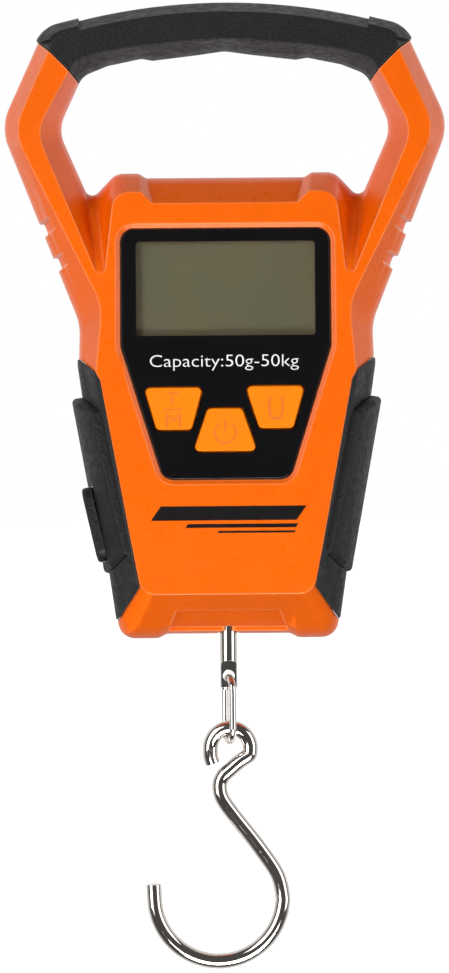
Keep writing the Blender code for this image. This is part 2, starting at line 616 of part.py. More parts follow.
def battery_spring(name, sign, z, parts):
    """A coil spring between a contact plate and the flat end of a cell."""
    turns, steps = 2.5, 10
    start = sign * 24.5
    end = sign * (CELL_LENGTH / 2 + 0.9 + 0.6)
    count = int(turns * steps)
    points = []
    for step in range(count + 1):
        share = step / count
        angle = 2 * math.pi * turns * share
        x = start + (end - start) * share
        points.append((x, CELL_DEPTH + 2.8 * math.cos(angle), z + 2.8 * math.sin(angle)))
    tube(name, points, 0.2, parts, sides=1)


# ---------------------------------------------------------------- tape measure

def ring(name, inner, outer, y_from, y_to, parts, tools):
    """A flat-ended ring about the tape's axis."""
    centre = (TAPE_AXIS[0], (y_from + y_to) / 2, TAPE_AXIS[1])
    body = cylinder(name, centre, outer, y_to - y_from, (0, 1, 0), parts, 24)
    hole = cylinder("hole", centre, inner, y_to - y_from + 2, (0, 1, 0), tools, 24)
    return combine(body, hole, "DIFFERENCE")


def tape_measure(parts, tools):
    """Case and lid, spool with the wound tape, its return spring, and the tab that pulls it out."""
    x, z = TAPE_AXIS
    case = ring("tape_case", 8.6, 9.5, -4.4, 5.2, parts, tools)
    combine(case, cylinder("floor", (x, 4.7, z), 9.2, 1.0, (0, 1, 0), tools, 24), "UNION")
    combine(case, cylinder("spindle", (x, 0.6, z), 1.1, 8.0, (0, 1, 0), tools, 12), "UNION")
    cylinder("tape_case_lid", (x, -5.1, z), 9.5, 0.8, (0, 1, 0), parts, 24)
    spool = ring("tape_spool", 3.4, COIL_INNER - GAP, -3.9, 3.9, parts, tools)
    combine(spool, ring("flange", 3.45, 8.2, 3.3, 3.95, tools, tools), "UNION")
    ring("tape_coil", COIL_INNER, COIL_OUTER, -TAPE_WIDTH / 2, TAPE_WIDTH / 2, parts, tools)
    tape_spring(parts)
    length = (TAB_CENTRE - TAPE_START).length - TAB_THICKNESS / 2 - GAP
    middle = TAPE_START + TAPE_OUT * length / 2
    slanted_box("tape_strip", middle, (length, TAPE_WIDTH, 0.2), -TAPE_LEAN, parts)
    combine(case, slanted_box("mouth", middle, (16, TAPE_WIDTH + 1, 1.4), -TAPE_LEAN, tools), "DIFFERENCE")
    tape_tab(parts)


def tape_spring(parts):
    """The flat spiral inside the spool that winds the tape back."""
    steps, turns = 42, 3.5
    inner, outer, thickness = 1.45, 3.0, 0.1
    edge_in, edge_out = [], []
    for step in range(steps + 1):
        angle = 2 * math.pi * turns * step / steps
        radius = inner + (outer - inner) * step / steps
        direction = (math.cos(angle), math.sin(angle))
        edge_in.append([TAPE_AXIS[i] + direction[i] * radius for i in (0, 1)])
        edge_out.append([TAPE_AXIS[i] + direction[i] * (radius + thickness) for i in (0, 1)])
    prism("tape_spring", edge_in + edge_out[::-1], -2.8, 2.8, parts)


def tape_tab(parts):
    """The rounded finger tab at the tape's end, lying in the left grip."""
    half_length, half_width, corner = TAB_LENGTH / 2, TAB_WIDTH / 2, 4.0
    right = [(half_width, half_length, corner, 3), (half_width, -half_length, corner, 3)]
    outline = both_sides(right)
    half, edge = TAB_THICKNESS / 2, 0.8
    levels = (
        (-half, rounded(outline)), (half - edge, rounded(outline)), (half, rounded(moved(outline, edge))),
    )
    tab = lofted("tape_tab", levels, parts)
    face_left = Matrix.Rotation(math.radians(90), 4, "Z")
    lean = Matrix.Rotation(-TAPE_LEAN, 4, "Y")
    tab.data.transform(Matrix.Translation(TAB_CENTRE * MM) @ lean @ face_left)
    return tab


# ---------------------------------------------------------------- screws

def housing_screws(parts, tools):
    """The screws that hold the two shells together, entered from the back."""
    rows = ("upper", "middle", "lower")
    for row, (x, z) in zip(rows, HOUSING_SCREWS):
        for hand, sign in (("right", 1), ("left", -1)):
            head = (sign * x, SCREW_SEAT + GAP + 0.9, z)
            screw = cylinder(f"housing_screw_{row}_{hand}", head, 2.2, 1.8, (0, 1, 0), parts, 16)
            shank = cylinder("shank", (sign * x, -0.6, z), 1.1, 11.8, (0, 1, 0), tools, 12)
            combine(screw, shank, "UNION")


# ---------------------------------------------------------------- materials

MATERIALS = {
    "orange_plastic": ((0.90, 0.16, 0.01), 0.0, 0.4, ("front_shell", "rear_shell", "battery_door")),
    "black_rubber": ((0.03, 0.03, 0.032), 0.0, 0.7, ("handle_grip", "side_grip", "tape_tab")),
    "smoked_panel": ((0.01, 0.01, 0.01), 0.0, 0.08, ("face_lens",)),
    "display_cell": ((0.16, 0.16, 0.09), 0.0, 0.15, ("lcd_glass",)),
    "orange_silicone": ((0.95, 0.25, 0.01), 0.0, 0.5, ("tare_key", "power_key", "unit_key")),
    "grey_silicone": ((0.3, 0.3, 0.3), 0.0, 0.6, ("keypad_mat", "zebra_strip")),
    "board_laminate": ((0.02, 0.15, 0.05), 0.0, 0.5, ("circuit_board",)),
    "black_moulding": (
        (0.02, 0.02, 0.02), 0.0, 0.4, ("lcd_frame", "tape_case", "tape_spool", "battery_lead_negative"),
    ),
    "chip_resin": ((0.02, 0.02, 0.025), 0.0, 0.5, ("controller_chip", "converter_chip")),
    "gauge_foil": ((0.7, 0.45, 0.2), 0.0, 0.4, ("strain_gauge",)),
    "nickel_steel": (
        (0.75, 0.73, 0.70), 1.0, 0.12, ("hanger", "thrust_washer", "connecting_link", "hook"),
    ),
    "zinc_steel": ((0.6, 0.6, 0.6), 1.0, 0.3, ("housing_screw", "board_screw", "load_cell_bolt")),
    "cell_alloy": ((0.7, 0.7, 0.72), 1.0, 0.35, ("load_cell",)),
    "spring_steel": (
        (0.5, 0.5, 0.5), 1.0, 0.3,
        ("battery_spring", "battery_plate", "tape_spring", "tare_dome", "power_dome", "unit_dome"),
    ),
    "battery_jacket": ((0.1, 0.12, 0.3), 0.3, 0.3, ("battery_upper", "battery_lower")),
    "yellow_tape": ((0.85, 0.7, 0.1), 0.0, 0.4, ("tape_coil", "tape_strip")),
    "red_insulation": ((0.6, 0.02, 0.02), 0.0, 0.4, ("battery_lead_positive", "gauge_cable")),
}


def paint(parts):
    """Gives every part its own material, by the longest name that starts the part's name."""
    slots = {start: slot for slot, spec in MATERIALS.items() for start in spec[3]}
    for thing in parts.objects:
        start = max((s for s in slots if thing.name.startswith(s)), key=len)
        color, metallic, roughness, _ = MATERIALS[slots[start]]
        material = bpy.data.materials.new(f"{slots[start]}_{thing.name}")
        material.use_nodes = True
        shader = material.node_tree.nodes["Principled BSDF"]
        shader.inputs["Base Color"].default_value = (*color, 1)
        shader.inputs["Metallic"].default_value = metallic
        shader.inputs["Roughness"].default_value = roughness
        thing.data.materials.clear()
        thing.data.materials.append(material)


def set_origins(parts):
    """Puts the origin of each moving part on its joint's axis."""
    link_top = Vector((0, 0, HANGER_HOLE_Z))
    link_bottom = Vector((0, 0, LINK_BOTTOM))
    spool = Vector((TAPE_AXIS[0], 0, TAPE_AXIS[1]))
    origins = {
        "hanger": link_top, "hanger_nut": link_top, "thrust_washer": link_top,
        "connecting_link": link_top, "hook": link_bottom, "tape_spool": spool, "tape_coil": spool,
        "tape_tab": TAB_CENTRE,
        "battery_door": Vector((0, HALF_DEPTH, DOOR_BOTTOM)),
    }
    for name, (first, *_, last) in KEYS.items():
        origins[name] = Vector(((first[0] + last[0]) / 2, -KEY_FRONT, (first[1] + last[1]) / 2))
    for name, origin in origins.items():
        thing = parts.objects[name]
        thing.data.transform(Matrix.Translation(-origin * MM))
        thing.location = origin * MM


def gauge_cable(parts):
    """The thin cable from the load cell's gauge up to the circuit board."""
    route = ((9.6, 0, -148), (10.6, 0, -142), (11.0, -1.0, -132), (10.5, -2.4, -126), (9, -4.6, -122))
    tube("gauge_cable", route, 0.5, parts, sides=1)


def main():
    for thing in list(bpy.data.objects):
        bpy.data.objects.remove(thing)
    parts = bpy.data.collections.new("digital_fish_scale")
    tools = bpy.data.collections.new("cutters")
    for collection in (parts, tools):
        bpy.context.scene.collection.children.link(collection)
    front_shell(parts, tools)
    rear_shell(parts, tools)
    handle_grip("handle_grip_front", -1, parts, tools)
    handle_grip("handle_grip_rear", 1, parts, tools)
    for hand, sign in (("right", 1), ("left", -1)):
        side_grip(f"side_grip_{hand}_front", sign, -1, parts, tools)
        side_grip(f"side_grip_{hand}_rear", sign, 1, parts, tools)
    face_lens(parts, tools)
    display(parts, tools)
    circuit_board(parts, tools)
    keys(parts, tools)
    load_cell(parts, tools)
    gauge_cable(parts)
    hanger(parts, tools)
    connecting_link(parts)
    hook(parts)
    battery_bay(parts, tools)
    tape_measure(parts, tools)
    housing_screws(parts, tools)
    paint(parts)
    set_origins(parts)


main()
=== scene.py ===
"""Looks of the digital fish scale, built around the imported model's frame.

Lengths are millimetres until MM turns them into metres. X is to the right, the display faces -Y,
Z is up, and the origin is the middle of the handle's grip bar where the two shells meet.
"""

import math

import bmesh
import bpy
from mathutils import Matrix, Vector


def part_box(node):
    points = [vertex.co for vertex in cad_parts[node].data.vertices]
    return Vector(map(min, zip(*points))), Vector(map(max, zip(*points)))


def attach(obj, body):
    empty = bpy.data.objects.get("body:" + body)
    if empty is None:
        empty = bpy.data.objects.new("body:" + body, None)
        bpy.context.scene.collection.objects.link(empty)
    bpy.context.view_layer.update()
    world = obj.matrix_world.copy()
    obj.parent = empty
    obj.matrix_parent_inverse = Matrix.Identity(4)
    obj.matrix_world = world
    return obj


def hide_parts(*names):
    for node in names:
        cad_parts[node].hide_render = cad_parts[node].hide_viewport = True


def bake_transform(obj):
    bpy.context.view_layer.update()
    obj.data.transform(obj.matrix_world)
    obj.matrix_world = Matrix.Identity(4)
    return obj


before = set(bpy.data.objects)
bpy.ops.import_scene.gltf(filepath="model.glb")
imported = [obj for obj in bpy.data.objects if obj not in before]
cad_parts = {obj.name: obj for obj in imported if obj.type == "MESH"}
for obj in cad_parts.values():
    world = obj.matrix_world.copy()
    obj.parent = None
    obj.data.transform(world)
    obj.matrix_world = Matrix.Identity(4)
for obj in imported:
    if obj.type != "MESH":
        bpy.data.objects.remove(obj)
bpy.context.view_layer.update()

MM = 0.001
WELD = 0.002
# How many times finer than the model's the arcs of an outline are, where they show and where not.
FINE, COARSE = 3, 1
# Cutters and zones reach past the casing: in depth to FAR, and beyond the plane of the joint by PAST.
FAR = 20
PAST = 2

GAP = 0.3
HALF_DEPTH = 14.0
FACE_ROUND = 0.4
SEAM_DEEP = 0.2
GRIP_SKIN = 1.8
WALL_AT_JOINT = 4.3
WALL_AT_FRONT = 3.5
CAVITY_DEPTH = 10.8
CHIN_SKIN = 0.8

# How far the outline has gone from the joint's (0) to the face's (1) at each depth: round at the
# joint, a soft crease at 6.5, then one flat slope up to the crisp edge of the face.
ROUND_SIDE = ((0.15, 0.0), (1.6, 0.025), (3.0, 0.075), (4.4, 0.15), (5.6, 0.24), (6.5, 0.33))
ROUND_START = math.radians(27)
FACE_STEPS = 4

# Corners of the right half of the casing's outline where the shells meet, and of its flat face:
# (x, z, fillet radius, arc segments), from the crown down to the middle of the bottom edge.
OUTER_JOINT = (
    (0, 13.0, 178, 8), (52.2, 0.4, 9, 3), (65.0, -27.8, 14, 3), (42.4, -85.0, 16, 2),
    (42.8, -96.9, 10, 2), (31.3, -176.2, 5, 3), (20.3, -176.2, 3, 1), (17.7, -174.9, 2, 1),
)
OUTER_FACE = (
    (0, 8.6, 170, 8), (48.6, -3.3, 6, 3), (60.5, -30.3, 13, 3), (35.6, -80.2, 16, 2),
    (37.5, -99.9, 10, 2), (24.7, -163.3, 5, 3), (18.3, -163.3, 3, 1), (16.0, -163.3, 2, 1),
)
# The same for the hand opening, from the underside of the bar round to the sill of the body.
OPENING_JOINT = (
    (0, -5.8, 9, 2), (8.2, -7.1, 4, 1), (20.8, -8.6, 1.5, 1), (24.2, -7.9, 1.5, 1), (34.0, -10.0, 4, 1),
    (41.2, -13.0, 6, 3), (48.3, -28.5, 10, 3), (39.2, -49.4, 2.2, 2), (31.6, -41.4, 5, 2),
    (25.1, -41.4, 1.5, 1), (22.9, -42.8, 1, 1),
)
OPENING_FACE = (
    (0, -4.4, 9, 2), (8.2, -4.8, 4, 1), (20.8, -6.0, 1.5, 1), (24.2, -6.3, 1.5, 1), (34.0, -7.8, 4, 1),
    (42.6, -10.2, 6, 3), (53.5, -30.4, 10, 3), (35.1, -75.0, 1.4, 2), (31.9, -47.7, 5, 2),
    (24.0, -47.7, 1.5, 1), (20.7, -51.0, 1, 1),
)
# The inner side of the cavity, which goes round the opening with fewer corners.
HOLLOW_JOINT = (
    (0, -5.0, 90, 3), (41.2, -12.6, 7, 2), (48.3, -28.5, 10, 2), (39.2, -49.4, 2.2, 3),
    (31.6, -41.9, 5, 2),
)
HOLLOW_FACE = (
    (0, -3.4, 90, 3), (42.6, -10.2, 6, 2), (53.5, -30.4, 10, 2), (35.1, -75.0, 2.2, 3),
    (31.9, -49.4, 5, 2),
)
# Where the soft sleeve of the bar ends, the edge of a side grip, and its raised rib.
GRIP_END = 57.6
PAD_EDGE = ((42.3, -95.3), (52, -95.3), (44, -170.6), (31.7, -170.6), (25.2, -161.0),
            (36.1, -101.6), (37.8, -98.9))
PAD_PROUD, CAP_PROUD = 0.4, 0.7
PAD_MARGIN = 0.12
RIB_JOINT = ((24, -103.7), (45.0, -106.7), (35.9, -156.9), (24, -159.9))
RIB_FACE = ((24, -109.0), (39.3, -111.0), (30.1, -151.0), (24, -153.0))
RIB_DEPTH = 12.4
RIB_CORNER = 1.4

# The panel, the window in it (half width, top, bottom) and the keys' corners.
LENS = ((29.9, -58.5, 4, 3), (30.0, -92.2, 5, 2), (18.1, -130.2, 4, 3))
LENS_FRONT = 13.4
POCKET_FLOOR = 12.0
WINDOW = (25.6, -62.2, -89.1)
KEYS = {
    "tare_key": ((-23.5, -103.9), (-6.6, -103.9), (-10.0, -116.1), (-20.0, -116.1)),
    "unit_key": ((5.5, -103.6), (22.5, -103.6), (19.1, -115.8), (9.4, -115.8)),
    "power_key": ((-5.3, -109.9), (4.5, -109.9), (8.8, -122.3), (-9.6, -122.3)),
}
KEY_CORNER = 1.4
KEY_FRONT = 14.44
KEY_EDGE = 0.45
KEY_TRAVEL = 0.7
KEY_FLANGE = 1.1
MARK_FRONT, MARK_THICKNESS = KEY_FRONT + 0.04, 0.06
KEY_CLEARANCE = 0.4
DOME_TOP = 8.1
BOARD_FRONT = 7.0

NOTCH_HEIGHTS = (-57.9, -67.8)
# Screws as (x, z) on the right side; each has its mirror image on the left.
HOUSING_SCREWS = ((56.6, -29.5), (32.0, -97.5), (21.4, -160.4))
POST_RADIUS = 3.3
POST_ENDS = (10.4, 11.9, 11.9)
BOARD_SCREWS = ((24.2, -98.4), (14.6, -125.5))
SCREW_SEAT = 4.7
BOARD_POST_RADIUS = 1.9
SCREW_HOLE, BOARD_SCREW_HOLE, BOLT_HOLE, COUNTERBORE = 1.45, 1.05, 1.55, 2.6
BOLT_X, BOLT_Z = 4.8, -135

DOOR_HALF_WIDTH, DOOR_TOP, DOOR_BOTTOM, DOOR_THICKNESS = 27.5, -59.5, -88.5, 1.6
LOAD_CELL_DEPTH = 5.0

ROD_RADIUS = 2.5
ROD_TOP = -152.5
HANGER_HOLE_Z, HANGER_END_Z, FLAT_START_Z = -187.2, -190.5, -182.7
HANGER_HOLE_RADIUS = 1.7
HANGER_HALF_FLAT = 1.1
LINK_TOP, LINK_BOTTOM, LINK_RADIUS, LINK_WIRE = -187.5, -206.2, 4.5, 1.0
LINK_TURN = math.radians(-14.5)
HOOK_WIRE = 2.23
EYE_CENTRE, EYE_RADIUS = (0.3, -208.2), 5.8
EYE_END, EYE_BEHIND = ((-4.9, 1.5, -212.6), (-5.45, 1.2, -210.6)), 0.9
SHANK = ((4.6, -211.0), (2.9, -212.1), (0.0, -214.6), (-1.8, -216.2), (-2.7, -217.9), (-2.85, -219.8),
         (-2.4, -222.1), (-0.9, -224.8), (2.4, -229.2), (6.9, -234.9), (11.1, -240.7), (13.2, -244.0),
         (14.4, -247.0))
BOWL_CENTRE, BOWL_RADIUS = (-3.4, -251.3), 18.6

TAPE_AXIS = (-18.2, -146.4)
TAPE_LEAN = math.radians(12.7)
TAPE_OUT = Vector((-math.cos(TAPE_LEAN), 0.0, -math.sin(TAPE_LEAN)))
TAPE_WIDTH = 6.0
COIL_OUTER = 7.2
TAPE_ABOVE_AXIS = COIL_OUTER + 0.45
TAPE_START = Vector((TAPE_AXIS[0], 0, TAPE_AXIS[1])) + Vector((TAPE_OUT.z, 0, -TAPE_OUT.x)) * TAPE_ABOVE_AXIS
TAB_CENTRE = TAPE_START + TAPE_OUT * 18.9
TAB_LENGTH, TAB_WIDTH, TAB_THICKNESS = 22.0, 11.0, 3.2
TAPE_WAY_WIDTH, TAPE_WAY_HEIGHT = TAPE_WIDTH + 1.6, 1.6


# ---------------- outlines

def mirrored(half):
    """The whole outline from its right half; a corner on the centreline is used once."""
    return list(half) + [(-x, z, radius, steps) for x, z, radius, steps in reversed(half) if x > 0]


def moved(corners, distance):
    """A clockwise outline with every edge moved inwards by a distance, or outwards if negative."""
    result = []
    for index, (x, z, radius, steps) in enumerate(corners):
        here = Vector((x, z))
        before = (here - Vector(corners[index - 1][:2])).normalized()
        after = (Vector(corners[(index + 1) % len(corners)][:2]) - here).normalized()
        normal_before = Vector((before.y, -before.x))
        normal_after = Vector((after.y, -after.x))
        corner = here + (normal_before + normal_after) * distance / (1 + normal_before.dot(normal_after))
        turns_right = before.x * after.y - before.y * after.x < 0
        new_radius = radius - distance if turns_right else radius + distance
        result.append((corner.x, corner.y, max(new_radius, 0.3), steps))
    return result


def rounded(corners, finer=FINE):
    """The points of an outline, with each corner replaced by its fillet's arc."""
    points = []
    for index, (x, z, radius, steps) in enumerate(corners):
        here = Vector((x, z))
        to_before = (Vector(corners[index - 1][:2]) - here).normalized()
        to_after = (Vector(corners[(index + 1) % len(corners)][:2]) - here).normalized()
        half_angle = to_before.angle(to_after) / 2
        centre = here + (to_before + to_after).normalized() * (radius / math.sin(half_angle))
        start = here + to_before * (radius / math.tan(half_angle)) - centre
        end = here + to_after * (radius / math.tan(half_angle)) - centre
        turn = math.atan2(start.x * end.y - start.y * end.x, start.dot(end))
        for step in range(steps * finer + 1):
            points.append(centre + Matrix.Rotation(turn * step / (steps * finer), 2) @ start)
    return [(point.x, point.y) for point in points]


def between(first, second, share):
    """Corners part of the way from one outline to another with the same corners."""
    return [
        tuple(a + (b - a) * share for a, b in zip(one[:3], two[:3])) + (one[3],)
        for one, two in zip(first, second)
    ]


def filleted(points, radius, steps=2):
    """Corners with the same fillet at every point of an outline."""
    return [(x, z, radius, steps) for x, z in points]


def rectangle(half_width, top, bottom, radius, steps=2):
    """The corners of an upright rectangle about the centreline."""
    points = ((half_width, top), (half_width, bottom), (-half_width, bottom), (-half_width, top))
    return filleted(points, radius, steps)


def upright(left, right, bottom, top):
    """The points of an upright rectangle with sharp corners."""
    return ((left, bottom), (left, top), (right, top), (right, bottom))


def round_over(shape, face, edge, steps):
    """Levels that round an outline's edge over, up to its flat face at a signed depth."""
    side = math.copysign(1, face)
    for step in range(steps + 1):
        angle = math.pi / 2 * step / steps
        yield face - side * edge * (1 - math.sin(angle)), rounded(moved(shape, edge * (1 - math.cos(angle))))


def arc(centre, radius, start, end, steps):
    """Points (x, z) on an arc; angles in degrees from +X towards +Z."""
    for step in range(steps + 1):
        angle = math.radians(start + (end - start) * step / steps)
        yield centre[0] + radius * math.cos(angle), centre[1] + radius * math.sin(angle)


# ---------------- solids

def linked(name, data):
    """A new object in the scene for some data."""
    thing = bpy.data.objects.new(name, data)
    bpy.context.scene.collection.objects.link(thing)
    return thing


def new_object(name, build):
    """An object made from a bmesh, which it frees."""
    mesh = bpy.data.meshes.new(name)
    build.to_mesh(mesh)
    build.free()
    return linked(name, mesh)


def evaluated_mesh(thing):
    """The mesh an object has once its curve or its modifiers are worked out."""
    bpy.context.view_layer.update()
    graph = bpy.context.evaluated_depsgraph_get()
    return bpy.data.meshes.new_from_object(thing.evaluated_get(graph))


def mesh_of_curve(name, curve):
    """The mesh of a curve or a text."""
    thing = linked(name, curve)
    mesh = evaluated_mesh(thing)
    bpy.data.objects.remove(thing)
    return mesh


def new_object_from(name, mesh):
    """An object made from a curve's mesh, closed and facing outwards."""
    build = bmesh.new()
    build.from_mesh(mesh)
    bmesh.ops.remove_doubles(build, verts=build.verts, dist=1e-6)
    bmesh.ops.recalc_face_normals(build, faces=build.faces)
    return new_object(name, build)


def shift(centre):
    """The move to a centre given in millimetres."""
    return Matrix.Translation(Vector(centre) * MM)


def lofted(name, levels):
    """A solid through one outline at several depths: levels are (y, loop of x, z points)."""
    build = bmesh.new()
    rows = [[build.verts.new((x * MM, y * MM, z * MM)) for x, z in loop] for y, loop in levels]
    for near, far in zip(rows, rows[1:]):
        for i in range(len(near)):
            build.faces.new((near[i - 1], near[i], far[i], far[i - 1]))
    build.faces.new(rows[0])
    build.faces.new(rows[-1])
    bmesh.ops.recalc_face_normals(build, faces=build.faces)
    bmesh.ops.triangulate(build, faces=build.faces)
    return new_object(name, build)


def prism(name, outline, y_from, y_to):
    """A flat outline of (x, z) points carried from one depth to another."""
    return lofted(name, ((y_from, outline), (y_to, outline)))


def box(name, low, high):
    return prism(name, upright(low[0], high[0], low[2], high[2]), low[1], high[1])


def slanted_box(name, centre, size, lean):
    """A box turned about Y by lean, with its own sides along x, y and z before the turn."""
    block = box(name, [-s / 2 for s in size], [s / 2 for s in size])
    block.data.transform(shift(centre) @ Matrix.Rotation(lean, 4, "Y"))
    return block


def cylinder(name, start, end, radius, sides=24, end_radius=None):
    """A cylinder, or a cone, from one point to another."""
    start, end = Vector(start), Vector(end)
    if end_radius is None:
        end_radius = radius
    build = bmesh.new()
    bmesh.ops.create_cone(
        build, cap_ends=True, segments=sides, radius1=radius * MM, radius2=end_radius * MM,
        depth=(end - start).length * MM,
    )
    turn = Vector((0, 0, 1)).rotation_difference(end - start).to_matrix().to_4x4()
    bmesh.ops.transform(build, verts=build.verts, matrix=shift((start + end) / 2) @ turn)
    return new_object(name, build)


def peg(name, x, z, y_from, y_to, radius, sides=24, end_radius=None):
    """A cylinder, or a cone, that runs from front to back."""
    near, far = sorted((y_from, y_to))
    return cylinder(name, (x, near, z), (x, far, z), radius, sides, end_radius)


def ellipsoid(name, centre, radii):
    build = bmesh.new()
    bmesh.ops.create_uvsphere(build, u_segments=40, v_segments=24, radius=1)
    size = Matrix.Diagonal((*[r * MM for r in radii], 1))
    bmesh.ops.transform(build, verts=build.verts, matrix=shift(centre) @ size)
    return new_object(name, build)


def tube(name, points, radius, sides, closed=False, round_end=0.0):
    """A round wire along a path of points, with its ends rounded off by a small chamfer."""
    path = bpy.data.curves.new(name, "CURVE")
    path.dimensions = "3D"
    path.bevel_depth = radius * MM
    path.bevel_resolution = sides
    path.use_fill_caps = True
    spline = path.splines.new("POLY")
    spline.points.add(len(points) - 1)
    for place, point in zip(spline.points, points):
        place.co = (*(Vector(point) * MM), 1)
        place.radius = 1.0
    if not closed:
        for place in (spline.points[0], spline.points[-1]):
            place.radius = 1 - round_end / radius
    spline.use_cyclic_u = closed
    return new_object_from(name, mesh_of_curve(name + "_path", path))


def combine(target, tool, operation, keep_tool):
    """Applies one Boolean to the target at once, and drops the tool unless it's kept."""
    step = target.modifiers.new("combine", "BOOLEAN")
    step.object = tool
    step.operation = operation
    step.solver = "EXACT"
    mesh = evaluated_mesh(target)
    target.modifiers.remove(step)
    build = bmesh.new()
    build.from_mesh(mesh)
    bmesh.ops.remove_doubles(build, verts=build.verts, dist=WELD * MM)
    bmesh.ops.dissolve_degenerate(build, edges=build.edges, dist=WELD * MM)
    bmesh.ops.triangulate(build, faces=build.faces)
    build.to_mesh(mesh)
    build.free()
    target.data = mesh
    if not keep_tool:
        bpy.data.objects.remove(tool)
    return target


def cut(target, tool, keep_tool=False):
    return combine(target, tool, "DIFFERENCE", keep_tool)


def join(target, tool):
    return combine(target, tool, "UNION", False)


def keep_inside(target, tool, keep_tool=False):
    return combine(target, tool, "INTERSECT", keep_tool)


def casing_levels(inset, past_joint):
    """(depth, share, extra inset) down one shell, from the joint to the rounded edge of its face."""
    first, *rest = ROUND_SIDE
    if past_joint:
        yield -past_joint, 0.0, 0.0
    else:
        yield 0.0, 0.0, SEAM_DEEP
        yield (*first, 0.0)
    for y, share in rest:
        yield y - inset, share, 0.0
    for step in range(FACE_STEPS + 1):
        angle = ROUND_START + (math.pi / 2 - ROUND_START) * step / FACE_STEPS
        depth = HALF_DEPTH - FACE_ROUND * (1 - math.sin(angle))
        extra = FACE_ROUND * (math.cos(ROUND_START) - math.cos(angle))
        yield depth - inset, 1.0, extra


def casing(name, side, inset, opening=True, past_joint=0, finer=FINE):
    """Half of the casing's outer form, on the side -1 (display) or 1 (back), inset all round.

    past_joint carries it that far past the plane where the shells meet.
    """
    outer, inner = [], []
    for depth, share, extra in casing_levels(inset, past_joint):
        outer_corners = mirrored(between(OUTER_JOINT, OUTER_FACE, share))
        inner_corners = mirrored(between(OPENING_JOINT, OPENING_FACE, share))
        outer.append((side * depth, rounded(moved(outer_corners, inset + extra), finer)))
        inner.append((side * depth, rounded(moved(inner_corners, -inset - extra), finer)))
    form = lofted(name, outer)
    if not opening:
        return form
    start, loop = inner[0]
    beyond = 0.5
    end_corners = moved(mirrored(OPENING_FACE), -inset - extra - beyond)
    end = side * (HALF_DEPTH - inset + beyond)
    levels = [(start - side, loop), *inner, (end, rounded(end_corners, finer))]
    return cut(form, lofted("opening", levels))


def cavity(name, side):
    """The hollow inside a shell, open towards the other shell."""
    shares = ((-1.0, 0.0, WALL_AT_JOINT), (CAVITY_DEPTH, CAVITY_DEPTH / HALF_DEPTH, WALL_AT_FRONT))
    outer, inner = [], []
    for y, share, wall in shares:
        outer_corners = mirrored(between(OUTER_JOINT[:-1], OUTER_FACE[:-1], share))
        inner_corners = mirrored(between(HOLLOW_JOINT, HOLLOW_FACE, share))
        outer.append((side * y, rounded(moved(outer_corners, wall), COARSE)))
        inner.append((side * (y + math.copysign(0.01, y)), rounded(moved(inner_corners, -wall), COARSE)))
    return cut(lofted(name, outer), lofted("core", inner))


# ---------------- finishing a piece

def flatten(build):
    """Puts the points that welding has moved off the casing's flat faces back on them."""
    for vertex in build.verts:
        if abs(abs(vertex.co.y) - HALF_DEPTH * MM) < 2 * WELD * MM:
            vertex.co.y = math.copysign(HALF_DEPTH * MM, vertex.co.y)


def finish(thing, body, look, *nodes, slot=None, crease=30, weld_flat=True):
    """Smooths a piece up to its creases, gives it its material and hangs it on its CAD body.

    nodes are the CAD nodes it stands for; slot is not used.
    """
    build = bmesh.new()
    build.from_mesh(thing.data)
    if weld_flat:
        flatten(build)
        bmesh.ops.dissolve_limit(
            build, angle_limit=math.radians(0.2), verts=build.verts, edges=build.edges,
        )
    limit = math.radians(crease)
    for face in build.faces:
        face.smooth = True
    for edge in build.edges:
        edge.smooth = edge.is_manifold and edge.calc_face_angle(0) < limit
    build.to_mesh(thing.data)
    build.free()
    thing.data.materials.clear()
    thing.data.materials.append(LOOKS[look])
    weighted = thing.modifiers.new("even_shading", "WEIGHTED_NORMAL")
    weighted.keep_sharp = True
    if body:
        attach(thing, body)
    if nodes:
        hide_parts(*nodes)


# ---------------- materials

class Nodes:
    """A node tree, with short ways to add to it."""

    def __init__(self, owner):
        owner.use_nodes = True
        self.tree = owner.node_tree

    def add(self, kind, inputs=None, **settings):
        made = self.tree.nodes.new("ShaderNode" + kind)
        for key, value in settings.items():
            setattr(made, key, value)
        for key, value in (inputs or {}).items():
            if isinstance(value, bpy.types.NodeSocket):
                self.tree.links.new(value, made.inputs[key])
            else:
                made.inputs[key].default_value = value
        return made

    def ranged(self, value, low, high, start=0.3, end=0.7, **settings):
        sockets = {"Value": value, "From Min": start, "From Max": end, "To Min": low, "To Max": high}
        return self.add("MapRange", sockets, **settings).outputs["Result"]

    def maths(self, operation, first, second=0.0):
        return self.add("Math", {0: first, 1: second}, operation=operation).outputs["Value"]


